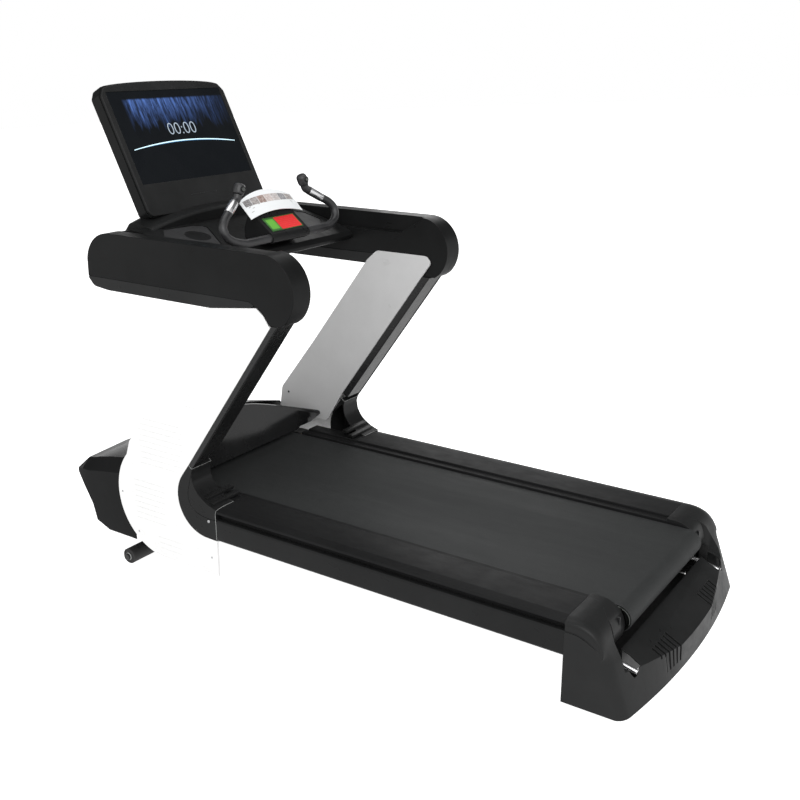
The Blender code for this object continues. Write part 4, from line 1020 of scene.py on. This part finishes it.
# ---- arms and console
def arms():
    """Hollow side arms: broad rounded outer edges and a shelf on the inside."""
    knuckle = arc(KNUCKLE_CENTRE, KNUCKLE_R, 225, 107, 40)
    front = arc((1.812, 1.003), 0.105, 90, 8, 24)
    foot = flat_path([(1.224, ARM_BOTTOM), (1.197, 0.948), (1.172, 0.929), (1.152, 0.9005)], 4)
    whole = [(1.107, 0.9005)] + knuckle + [(1.16, ARM_TOP)] + front + [(1.917, ARM_BOTTOM)] + foot
    hollow = [(1.26, 0.9), (1.90, 0.9), (1.90, 1.04), (1.26, 1.04)]
    above = rounded([(1.255, ARM_SHELF + 0.002), (1.90, ARM_SHELF + 0.002), (1.90, 1.2), (1.18, 1.2),
                     (1.16, 1.10)])
    trim = rounded([(1.1985, 0.9485, 0.01), (1.40, 0.9225, 0.05), (1.830, 0.9225, 0.03),
                    (1.895, 0.930, 0.03), (1.917, 0.955, 0.006), (1.917, ARM_BOTTOM - GAP),
                    (1.2255, ARM_BOTTOM - GAP)])

    def share(middle):
        """Broad edges outside, except low down and at the front face."""
        outer = abs(abs(middle.x) - HALF_WIDTH) < 0.001
        return 1.0 if outer and middle.z > 0.9 and middle.y < 1.93 else 0.33

    for name, side in SIDES:
        arm = cut(prism(whole, *span(side, ARM_INNER, HALF_WIDTH)),
                  prism(hollow, *span(side, ARM_INNER + WALL, HALF_WIDTH - WALL)),
                  prism(above, *span(side, 0.36, ARM_RECESS)))
        piece(f"arm_shell_{name}", arm, "arm", f"arm_{name}", soft=0.010, segments=5, rule=share)
        strip = prism(trim, *span(side, ARM_INNER, HALF_WIDTH))
        piece(f"arm_bottom_{name}", strip, "trim", f"arm_trim_{name}", soft=0.003)
        places = [(side * HALF_WIDTH, y, 0.940) for y in (1.774, 1.556)]
        screws(f"arm_screw_{name}", places, (side, 0, 0), 0.0040, "dark")


def tray_height(y):
    """Top of the console tray at a distance along the deck."""
    marks = [(1.468, 1.036), (1.52, 1.055), (1.72, 1.104), (1.785, 1.112), (1.905, 1.088)]
    for (y0, z0), (y1, z1) in zip(marks, marks[1:]):
        if y <= y1:
            return z0 + (z1 - z0) * (y - y0) / (y1 - y0)
    return marks[-1][1]


def console_tray():
    """Console between the arms, with cup holders in shallow fans."""
    outline = rounded([(1.905, 0.985, 0.012), (1.905, 1.088, 0.01), (1.785, 1.112, 0.03),
                       (1.72, 1.104, 0.03), (1.52, 1.055, 0.02), (1.468, 1.036, 0.006),
                       (1.460, 1.020, 0.006), (1.470, 1.004, 0.012), (1.62, 0.985, 0.05)])
    hollow = [(1.900, 0.990), (1.900, 1.083), (1.785, 1.107), (1.72, 1.099), (1.53, 1.053),
              (1.475, 1.033), (1.468, 1.020), (1.475, 1.009), (1.62, 0.990)]
    recess = ((0.355, 1.665), (0.355, 1.585), (0.300, 1.545), (0.215, 1.545), (0.125, 1.700),
              (0.170, 1.725), (0.290, 1.735))
    sheet = ((0.3535, 1.664), (0.3535, 1.586), (0.299, 1.5465), (0.216, 1.5465), (0.127, 1.700),
             (0.171, 1.7235), (0.290, 1.7335))
    wide = ARM_INNER - GAP
    tray = cut(prism(outline, -wide, wide), prism(hollow, -wide + WALL, wide - WALL))
    cups, tools = [], [moved(rod(0.02, -0.03, 0.03), (0, 1.905, 1.03), (math.pi / 2, 0, 0))]
    top, far_above = tray_height(CUP_Y), 1.25
    for side in (-1, 1):
        centre = (side * CUP_X, CUP_Y, 0)
        cups.append(moved(rod(CUP_R + 0.004, 0.987, top - 0.003), centre))
        tools.append(moved(rod(CUP_R, 0.992, far_above), centre))
        sunk = prism(rounded(flipped(side, recess), 0.018), 1.035, far_above, ALONG_Z)
        tools.append(sheared(sunk, 1.035, -0.0035))
    tray = cut(weld(tray, *cups), *tools)
    piece("console_top", tray, "arm", "console_tray", soft=0.0016, angle=45)
    for name, side in SIDES:
        centre = (side * CUP_X, CUP_Y, 0)
        mat = sheared(prism(rounded(flipped(side, sheet), 0.0175), 0.0, 0.0012, ALONG_Z), 0.0, -0.0034)
        mat = cut(mat, moved(rod(CUP_R + 0.0015, 0.9, far_above), centre))
        piece(f"cup_surround_{name}", mat, "tray", soft=0.0003, segments=2)
        ring = lathe([(0, 0.9935), (CUP_R - 0.006, 0.9935), (CUP_R - 0.006, 0.995), (0, 0.995)], 56)
        piece(f"cup_mat_{name}", moved(ring, centre), "rubber")


def sheared(mesh, base, lift):
    """Raises each vertex by the tray's height, so that a flat plate follows the tray's top."""
    for vert in mesh.vertices:
        if abs(vert.co.z - base) < 0.0005 or vert.co.z < base + 0.01:
            vert.co.z = vert.co.z - base + tray_height(vert.co.y) + lift
    mesh.update()
    return mesh


def console_ledge():
    """Crowned ledge that carries the screen, with a thin raised lip along its front."""
    rows = []
    for k in range(33):
        x = -0.33 + 0.66 * k / 32
        bow = 1 - (x / 0.36) ** 2
        top, back = 1.106 + 0.044 * bow, 1.8 + 0.03 * bow
        ring = [(1.742, tray_height(1.742) - 0.004), (1.742, top - 0.010), (1.748, top - 0.003),
                (1.758, top), (back + 0.02, top + 0.012), (back + 0.045, top + 0.006),
                (1.878, 1.085), (1.80, 1.080)]
        rows.append([(x, y, z) for y, z in ring])
    piece("screen_ledge", loft(rows), "arm", soft=0.0015)


def monitor():
    """Tilted screen: deep back shell with vents, rounded bezel, and the bracket behind."""
    tilt = leaning(SCREEN_ORIGIN, SCREEN_TILT)
    right = [(0.285, -0.112, 0.02), (0.294, -0.09, 0.02), (0.294, 0.318, 0.02), (0.276, 0.343, 0.02)]
    left = [(-x, y, radius) for x, y, radius in reversed(right)]
    crown = [(0.276 * math.cos(math.pi * k / 16), 0.343 + 0.019 * math.sin(math.pi * k / 16))
             for k in range(1, 16)]
    case = rounded(left[-1:] + right + crown + left[:-1])
    hollow = prism([(x * 0.98, y * 0.965) for x, y in case], -0.044, 0.01, ALONG_Z)
    shell = cut(prism(case, CASE_BACK, -0.010, ALONG_Z), hollow)
    vents = []
    for row in range(5):
        low, high = 0.215 + 0.014 * row, 0.221 + 0.014 * row
        for k in range(14):
            x = -0.13 + 0.02 * k
            vents.append(block((x, x + 0.012), (low, high), (-0.06, -0.03)))
    piece("screen_back", cut(shell, fused(*vents)), "arm", "monitor_back", soft=0.006, segments=4,
          matrix=tilt, rule=lambda middle: 1.0 if middle.z < -0.047 and abs(middle.x) > 0.2 else 0.12)
    rows = []
    for x, y in case:
        x, y = x * 0.985, y * 0.985
        u = min(GLASS_HALF + 0.0005, max(-GLASS_HALF - 0.0005, x))
        v = min(GLASS_HIGH + 0.0005, max(-0.0005, y))
        rows.append([(x, y, BEZEL_BACK), (x, y, 0.0006), (u, v, 0.0006), (u, v, BEZEL_BACK)])

    def share(middle):
        """Broad edges in front, along the outside."""
        outer = abs(middle.x) > 0.27 or middle.y > 0.33 or middle.y < -0.05
        return 1.0 if middle.z > 0 and outer else 0.06

    piece("screen_bezel", loft(rows, closed=True), "trim", "monitor_bezel", soft=0.003, segments=4,
          matrix=tilt, rule=share)
    screen_face(tilt)
    bracket = rounded([(1.8513, 1.1553, 0.01), (1.9181, 1.2895, 0.01), (1.956, 1.272, 0.02),
                       (1.902, 1.0895, 0.008), (1.846, 1.1005, 0.008)])
    piece("screen_bracket", prism(bracket, -0.11, 0.11), "satin", "monitor_mount", soft=0.003)


def screen_face(tilt):
    """Glass with its picture, arc of light and digits; a line, a sensor and a lens round it."""
    corners = [(-GLASS_HALF, 0), (GLASS_HALF, 0), (GLASS_HALF, GLASS_HIGH), (-GLASS_HALF, GLASS_HIGH)]
    glass = prism(rounded(corners, 0.002), BEZEL_BACK, GLASS_FACE, ALONG_Z)
    picture = screen_image("screen_image", 2 * GLASS_HALF, GLASS_HIGH)
    piece("screen_panel", glass, picture, "screen_glass", soft=0.0004, matrix=tilt)
    along = [-1 + k / 24 for k in range(49)]
    taper = [0.6 + 0.4 * (1 - abs(t) ** 3) for t in along]
    for name, colour, strength, drop, depth, radius in (
            ("screen_arc", (0.62, 0.86, 1.0), 1.3, 0, -0.0009, 0.0021),
            ("screen_arc_halo", (0.03, 0.20, 0.42), 0.8, 0.0010, -0.0041, 0.0042)):
        sweep = [(0.243 * t, 0.120 + 0.019 * (1 - t * t) - drop, depth) for t in along]
        light = glow(f"{name}_light", colour, strength)
        piece(name, tube(sweep, radius, 3, taper), light, matrix=tilt)
    text = bpy.data.curves.new("digits", "FONT")
    text.body = "00:00"
    text.size = 0.062
    text.extrude = 0.0002
    text.offset = -0.0010
    text.align_x = "CENTER"
    digits = moved(baked(placed("digits", text)), (0.008, 0.162, -0.0006))
    light = glow("digit_light", (0.36, 0.43, 0.50), 0.9)
    piece("screen_digits", digits, light, matrix=tilt)
    line = tube([(-0.075, CHIN_Y, 0.0008), (0.040, CHIN_Y, 0.0008)], 0.0006, 2)
    piece("chin_line", line, "tray", matrix=tilt)
    dot = lathe([(0, 0), (0.0022, 0), (0.0022, 0.0006), (0.0012, 0.0012), (0, 0.0014)], 24)
    piece("chin_sensor", moved(dot, (0.048, CHIN_Y, 0.0004)), "tray", matrix=tilt)
    lens = lathe([(0, 0), (0.0035, 0), (0.0035, 0.0004), (0.0028, 0.0007), (0, 0.0004)], 28)
    piece("camera_dot", moved(lens, (0.035, 0.3335, 0.0004)), "dark", matrix=tilt)


# ---- handlebar and controls
SENSOR_LOW = Vector((0.242, 1.492, 1.168))
SENSOR_HIGH = Vector((0.191, 1.510, 1.198))
TIP = Vector((0.170, 1.512, 1.220))
POD_AXIS = Vector((-0.45, 0.02, 0.89)).normalized()


def handlebar():
    """One bent bar, level across the middle and curled up and inwards at both ends."""
    bend = [(0.215, BAR_Y, BAR_Z), (0.255, 1.4545, 1.0855), (0.281, 1.464, 1.103),
            (0.286, 1.474, 1.130), (0.268, 1.483, 1.152), SENSOR_LOW]
    end = [SENSOR_HIGH, (0.1772, 1.5117, 1.2058), TIP]
    right = smooth_path(bend, 9) + [SENSOR_HIGH] + smooth_path(end, 6)[1:]
    left = [mirrored(-1, point) for point in reversed(right)]
    piece("curled_bar", tube(left + right, BAR_R, 9), "grip", "handlebar")
    run = SENSOR_HIGH - SENSOR_LOW
    length = run.length - 0.004
    inner, middle, outer = BAR_R + 0.0004, BAR_R + 0.0009, BAR_R + 0.0012
    profile = [(inner, 0), (middle, 0), (outer, 0.0008), (outer, length - 0.0008), (middle, length),
               (inner, length)]
    for name, side in SIDES:
        along = mirrored(side, run).normalized()
        sleeve = cut(ring_solid(profile, 56), block((-0.0008, 0.0008), (-0.03, 0.03), (-0.01, 0.1)))
        sleeve = aimed(sleeve, mirrored(side, SENSOR_LOW) + along * 0.002, along)
        piece(f"pulse_plate_{name}", sleeve, "steel", f"grip_sensor_{name}", soft=0.0002, segments=2)


def ring_solid(profile, steps):
    """A ring turned about Z from a closed (radius, height) profile."""
    angles = [2 * math.pi * k / steps for k in range(steps)]
    return loft([[(radius * math.cos(a), radius * math.sin(a), height) for radius, height in profile]
                 for a in angles], closed=True)


def thumb_axis(side):
    """The way a thumb button faces: square to its pod, towards the runner."""
    axis = mirrored(side, POD_AXIS)
    towards = Vector((0, -1, 0.2))
    return (towards - axis * towards.dot(axis)).normalized()


def grip_pods():
    """Rounded rubber ends of the bar, with a silver thumb button that faces the runner."""
    profile = [(0, 0), (0.0150, 0), (0.0168, 0.0012), (0.0182, 0.005), (0.0186, 0.012),
               (0.0186, 0.024), (0.0178, 0.0295), (0.0152, 0.0335), (0.011, 0.0355), (0, 0.036)]
    rim = [(0.0074, -0.004), (0.0098, -0.004), (0.0098, 0.0008), (0.009, 0.0016), (0.0080, 0.0016),
           (0.0074, 0.0008)]
    dished = [(0, -0.003), (0.0066, -0.003), (0.0069, -0.0026), (0.0069, 0.0022), (0.0064, 0.0029),
              (0.0045, 0.0032), (0.003, 0.0029), (0, 0.0027)]
    for name, side in SIDES:
        axis, tip, face = mirrored(side, POD_AXIS), mirrored(side, TIP), thumb_axis(side)
        centre = tip + axis * 0.0195
        pod = aimed(lathe(profile, 56), tip + axis * 0.0015, axis)
        pocket = aimed(rod(0.0075, -0.006, 0.006), centre + face * 0.0195, face)
        piece(f"pod_{name}", cut(pod, pocket), "grip", f"grip_pod_{name}", soft=0.0008, segments=2)
        collar = aimed(ring_solid(rim, 40), centre + face * 0.0190, face)
        piece(f"pod_collar_{name}", collar, "satin")
        button = aimed(lathe(dished, 40), centre + face * 0.0185, face)
        piece(f"press_button_{name}", button, "stud", f"thumb_button_{name}",
              body=f"thumb_button_{name}")


def control_pod():
    """Pod clamped on the bar, with a sloped key face and a backrest for the board."""
    outline = rounded([(1.4381, 1.0884, 0.004), (1.4975, 1.1351, 0.006), (1.5040, 1.1500, 0.004),
                       (1.5200, 1.1660, 0.004), (1.5330, 1.1640, 0.004), (1.5580, 1.1000, 0.02),
                       (1.5560, 1.0665, 0.006), (1.520, 1.0560, 0.01), (1.4500, 1.0560, 0.006),
                       (1.4330, 1.0650, 0.006), (1.4300, 1.0770, 0.008)])
    bore = moved(rod(BAR_R + GAP, -0.15, 0.15), (0, BAR_Y, BAR_Z), (0, math.pi / 2, 0))
    well = block((-0.0765, 0.0765), (-0.028, 0.028), (-0.0045, 0.02))
    pod = cut(prism(outline, -0.095, 0.095), bore, moved(well, KEY_ORIGIN, (KEY_TILT, 0, 0)))
    piece("key_pod", pod, "satin", "control_pod", soft=0.003, segments=4)
    key_face = leaning(KEY_ORIGIN, KEY_TILT)
    ring = cut(block((-0.0785, 0.0785), (-0.030, 0.030), (0.0, 0.0013)),
               block((-0.0768, 0.0768), (-0.0283, 0.0283), (-0.01, 0.01)))
    piece("key_frame", ring, "green", matrix=key_face, soft=0.0003, segments=2)
    for name, low, high, finish in (("start_key", -0.0755, -0.0275, "green"),
                                    ("stop_key", -0.0265, 0.0755, "red")):
        corners = [(low, -KEY_HALF_HIGH), (high, -KEY_HALF_HIGH), (high, KEY_HALF_HIGH),
                   (low, KEY_HALF_HIGH)]
        key = prism(rounded(corners, 0.0015), -0.0030, KEY_TOP, ALONG_Z)
        middle, half = (low + high) / 2, (high - low) / 2 - 0.006
        lines = [block((middle - half * s, middle + half * s), (y, y + 0.0007), (0.0008, 0.01))
                 for y, s in ((0.017, 0.55), (0.009, 1.0), (0.001, 0.9), (-0.007, 1.0), (-0.015, 0.7))]
        piece(f"{name}_cap", cut(key, fused(*lines)), finish, name, body=name, soft=0.0006,
              matrix=key_face)
        if name == "start_key":
            corners = [(-0.071, -0.0215), (-0.034, -0.0215), (-0.034, 0.0215), (-0.071, 0.0215)]
            plate = prism(rounded(corners, 0.003), KEY_TOP, 0.0015, ALONG_Z)
            leaf = coated("bright_green", (0.13, 0.42, 0.05), 0.4, edge_wear_and_highlight_colour=(0.3, 0.6, 0.2), shine=0.3)
            piece("start_plate", plate, leaf, body="start_key", matrix=key_face,
                  soft=0.0001)


def info_board():
    """Crowned white sheet above the keys, with a strip of small printed tiles and marks."""
    lean = leaning(BOARD_ORIGIN, BOARD_TILT)

    def on_board(share, along, out):
        """A point of the board's face, across it and up it."""
        arch = 1 - share ** 2
        rise = 0.014 + 0.014 * (along - BOARD_LOW) / (BOARD_HIGH - BOARD_LOW)
        return (BOARD_HALF * share, along + rise * arch, out + 0.011 * arch)

    def layer(stations, edges, base, top):
        """A thin sheet on the board's face, between its edges at each station."""
        rows = []
        for share in stations:
            low, high = edges(share)
            rows.append([on_board(share, low, base), on_board(share, high, base),
                         on_board(share, high, top), on_board(share, low, top)])
        return loft(rows)

    sheet = layer([-1 + k / 20 for k in range(41)], lambda s: (BOARD_LOW, BOARD_HIGH), 0.0, 0.0025)
    piece("route_board", sheet, "sheet", "info_board", soft=0.0008, matrix=lean)
    tones = (((0.34, 0.33, 0.33), (0.12, 0.11, 0.11)), ((0.50, 0.47, 0.45), (0.20, 0.18, 0.18)),
             ((0.46, 0.38, 0.35), (0.22, 0.14, 0.12)), ((0.66, 0.60, 0.58), (0.44, 0.36, 0.34)),
             ((0.60, 0.57, 0.56), (0.36, 0.31, 0.30)), ((0.44, 0.43, 0.44), (0.15, 0.15, 0.16)),
             ((0.48, 0.45, 0.43), (0.18, 0.16, 0.15)))
    margin, reach = 0.008, 0.92
    for k, (light, dark) in enumerate(tones):
        start = -reach + 2 * reach * k / len(tones) + margin
        end = -reach + 2 * reach * (k + 1) / len(tones) - margin
        tile = layer([start + (end - start) * n / 6 for n in range(7)],
                     lambda s: (0.040 - 0.015 * (1 - s * s), 0.062 - 0.012 * (1 - s * s)),
                     BOARD_FACE, 0.0028)
        piece(f"board_tile_{k + 1}", tile, printed(f"tile_print_{k + 1}", light, dark),
              matrix=lean)
    marks = ((-0.80, 0.030, 0.05), (-0.70, 0.022, 0.04), (-0.80, 0.012, 0.05), (-0.45, 0.026, 0.03),
             (0.45, 0.030, 0.03), (0.58, 0.034, 0.03), (0.78, 0.026, 0.05))
    for k, (share, along, width) in enumerate(marks, 1):
        mark = layer((share - width, share, share + width), lambda s, low=along: (low, low + 0.0022),
                     BOARD_FACE, 0.0027)
        piece(f"board_mark_{k}", mark, "pale", matrix=lean)


# ---- hood and nose
def crown(x, middle, fall):
    """Height of the hood at x, falling away from its middle."""
    return middle + fall * 0.06 - fall * math.hypot(x, 0.06)


def hood():
    """Motor hood between the masts: dark rear face, narrow top strip, open below."""
    rows = []
    for k in range(65):
        x = -0.3712 + 0.7424 * k / 64
        top = crown(x, 0.424, 0.35)
        crest = 1.70 - 0.07 * (x / 0.366) ** 2
        front = crown(x, 0.384, 0.33)
        foot = 0.2585 if abs(x) > 0.30 else 0.2500
        section = [(1.672, foot), (crest - 0.004, top - 0.012), (crest - 0.001, top - 0.003),
                   (crest + 0.006, top), (1.842, front), (1.842, front - WALL),
                   (crest + 0.006, top - WALL), (crest, top - 0.014), (1.676, foot)]
        rows.append([(x, y, z) for y, z in section])
    piece("hood", loft(rows), "gloss", "motor_hood", soft=0.0012, angle=30)


def nose_section(y, half, side_top, shoulder, middle, bottom, inset=0.0):
    """Cross-section of the nose: upright sides, sloped shoulders and a low ridge."""
    half, middle, shoulder = half - inset, middle - inset, shoulder - inset
    side_top = side_top - inset * 0.4
    right = [(half - 0.005, bottom), (half, min(bottom + 0.006, side_top - 0.01)), (half, side_top),
             (half - 0.035, shoulder), (half * 0.5, (shoulder + middle) / 2 + 0.008)]
    left = [(-x, z) for x, z in reversed(right)]
    return [(x, y, z) for x, z in right + [(0, middle)] + left]


def nose():
    """Front cover: faceted shell round the motor, open to the rear and below."""
    below = -0.03
    stations = ((1.8424, 0.420, 0.262, 0.312, 0.384, 0.012), (1.983, 0.420, 0.242, 0.288, 0.310, 0.012),
                (2.041, 0.420, 0.232, 0.275, 0.290, 0.035), (2.057, 0.420, 0.228, 0.270, 0.280, 0.094),
                (2.096, 0.420, 0.229, 0.262, 0.268, 0.162), (2.123, 0.416, 0.226, 0.240, 0.244, 0.204))
    inside = ((1.80, 0.420, 0.262, 0.312, 0.384, below), (1.8424, 0.420, 0.262, 0.312, 0.384, below),
              (1.983, 0.420, 0.242, 0.288, 0.310, below), (2.0368, 0.420, 0.233, 0.276, 0.2915, below),
              (2.0370, 0.420, 0.233, 0.276, 0.2915, 0.037),
              (2.0530, 0.420, 0.229, 0.271, 0.2825, 0.098),
              (2.0915, 0.4155, 0.2225, 0.257, 0.2655, 0.169),
              (2.1095, 0.4055, 0.2195, 0.2434, 0.2489, 0.200))
    inlet = moved(block((-0.0255, 0.0255), (-0.0155, 0.0155), (-0.03, 0.03)), (-0.25, 2.083, 0.143),
                  (math.radians(-118), 0, 0))
    shell = cut(loft([nose_section(*one) for one in stations]),
                loft([nose_section(*one, inset=WALL) for one in inside]), inlet)

    def share(middle):
        """Broad edges, except at the rear, along the sides and underneath."""
        return 1.0 if middle.y > 1.85 and abs(middle.x) < 0.45 and middle.z > 0.03 else 0.1

    piece("front_cover", shell, "nose", "nose_cover", soft=0.006, segments=4, angle=12, rule=share)


# ---- lift wheels
def lift_wheels():
    """Wide rubber wheels with a pale hub ring on the outer end."""
    end = [(0.0084, 0.080), (0.0125, 0.080), (0.0130, 0.078), (0.0225, 0.078), (0.0235, 0.080),
           (0.0255, 0.0795), (WHEEL_R, 0.077)]
    profile = [(radius, -height) for radius, height in end] + end[::-1]
    ring = [(0.0072, 0.0796), (0.0138, 0.0796), (0.0138, 0.0812), (0.0126, 0.0820), (0.0084, 0.0820),
            (0.0072, 0.0812)]
    for name, side in SIDES:
        low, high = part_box(f"lift_wheel_{name}")
        centre = LEVEL @ ((low + high) / 2)
        wheel = moved(moved(ring_solid(profile, 72), turn=(0, math.pi / 2, 0)), centre)
        body = f"lift_wheel_{name}"
        piece(f"wheel_{name}", wheel, "rubber", body, body=body)
        hub = moved(moved(ring_solid(ring, 48), turn=(0, side * math.pi / 2, 0)), centre)
        piece(f"wheel_hub_{name}", hub, "pale", body=body)


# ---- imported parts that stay
def dress(node, finish):
    """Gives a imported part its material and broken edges."""
    obj = frame["nodes"][node]
    obj.data.materials.clear()
    obj.data.materials.append(FINISH[finish])
    if "custom_normal" in obj.data.attributes:
        obj.data.attributes.remove(obj.data.attributes["custom_normal"])
    obj.data.shade_smooth()
    join = obj.modifiers.new("join faces", "WELD")
    join.merge_threshold = 0.00001
    bevel = obj.modifiers.new("broken edges", "BEVEL")
    bevel.width = 0.0008
    bevel.segments = 2
    bevel.angle_limit = math.radians(40)
    bevel.harden_normals = True


KEPT = {"paint": ("side_beam_left", "side_beam_right", "crossmember_rear", "crossmember_middle",
                  "crossmember_front", "front_beam", "lift_bracket", "lift_frame"),
        "rubber": ("deck_cushion_left", "deck_cushion_right", "drive_belt"),
        "steel": ("front_roller", "motor_pulley", "lift_tube"),
        "grey": ("drive_motor", "lift_actuator"), "board": ("deck_board",),
        "cast": ("motor_controller",), "gloss": ("power_inlet",)}

camera()
studio()
running_belt()
rear_roller()
tension_bolts()
belt_guards()
foot_rails()
rear_cap()
rear_feet()
lower_corners()
masts()
side_panels()
arms()
console_tray()
console_ledge()
monitor()
handlebar()
grip_pods()
control_pod()
info_board()
hood()
nose()
lift_wheels()
for finish, nodes in KEPT.items():
    for node in nodes:
        dress(node, finish)
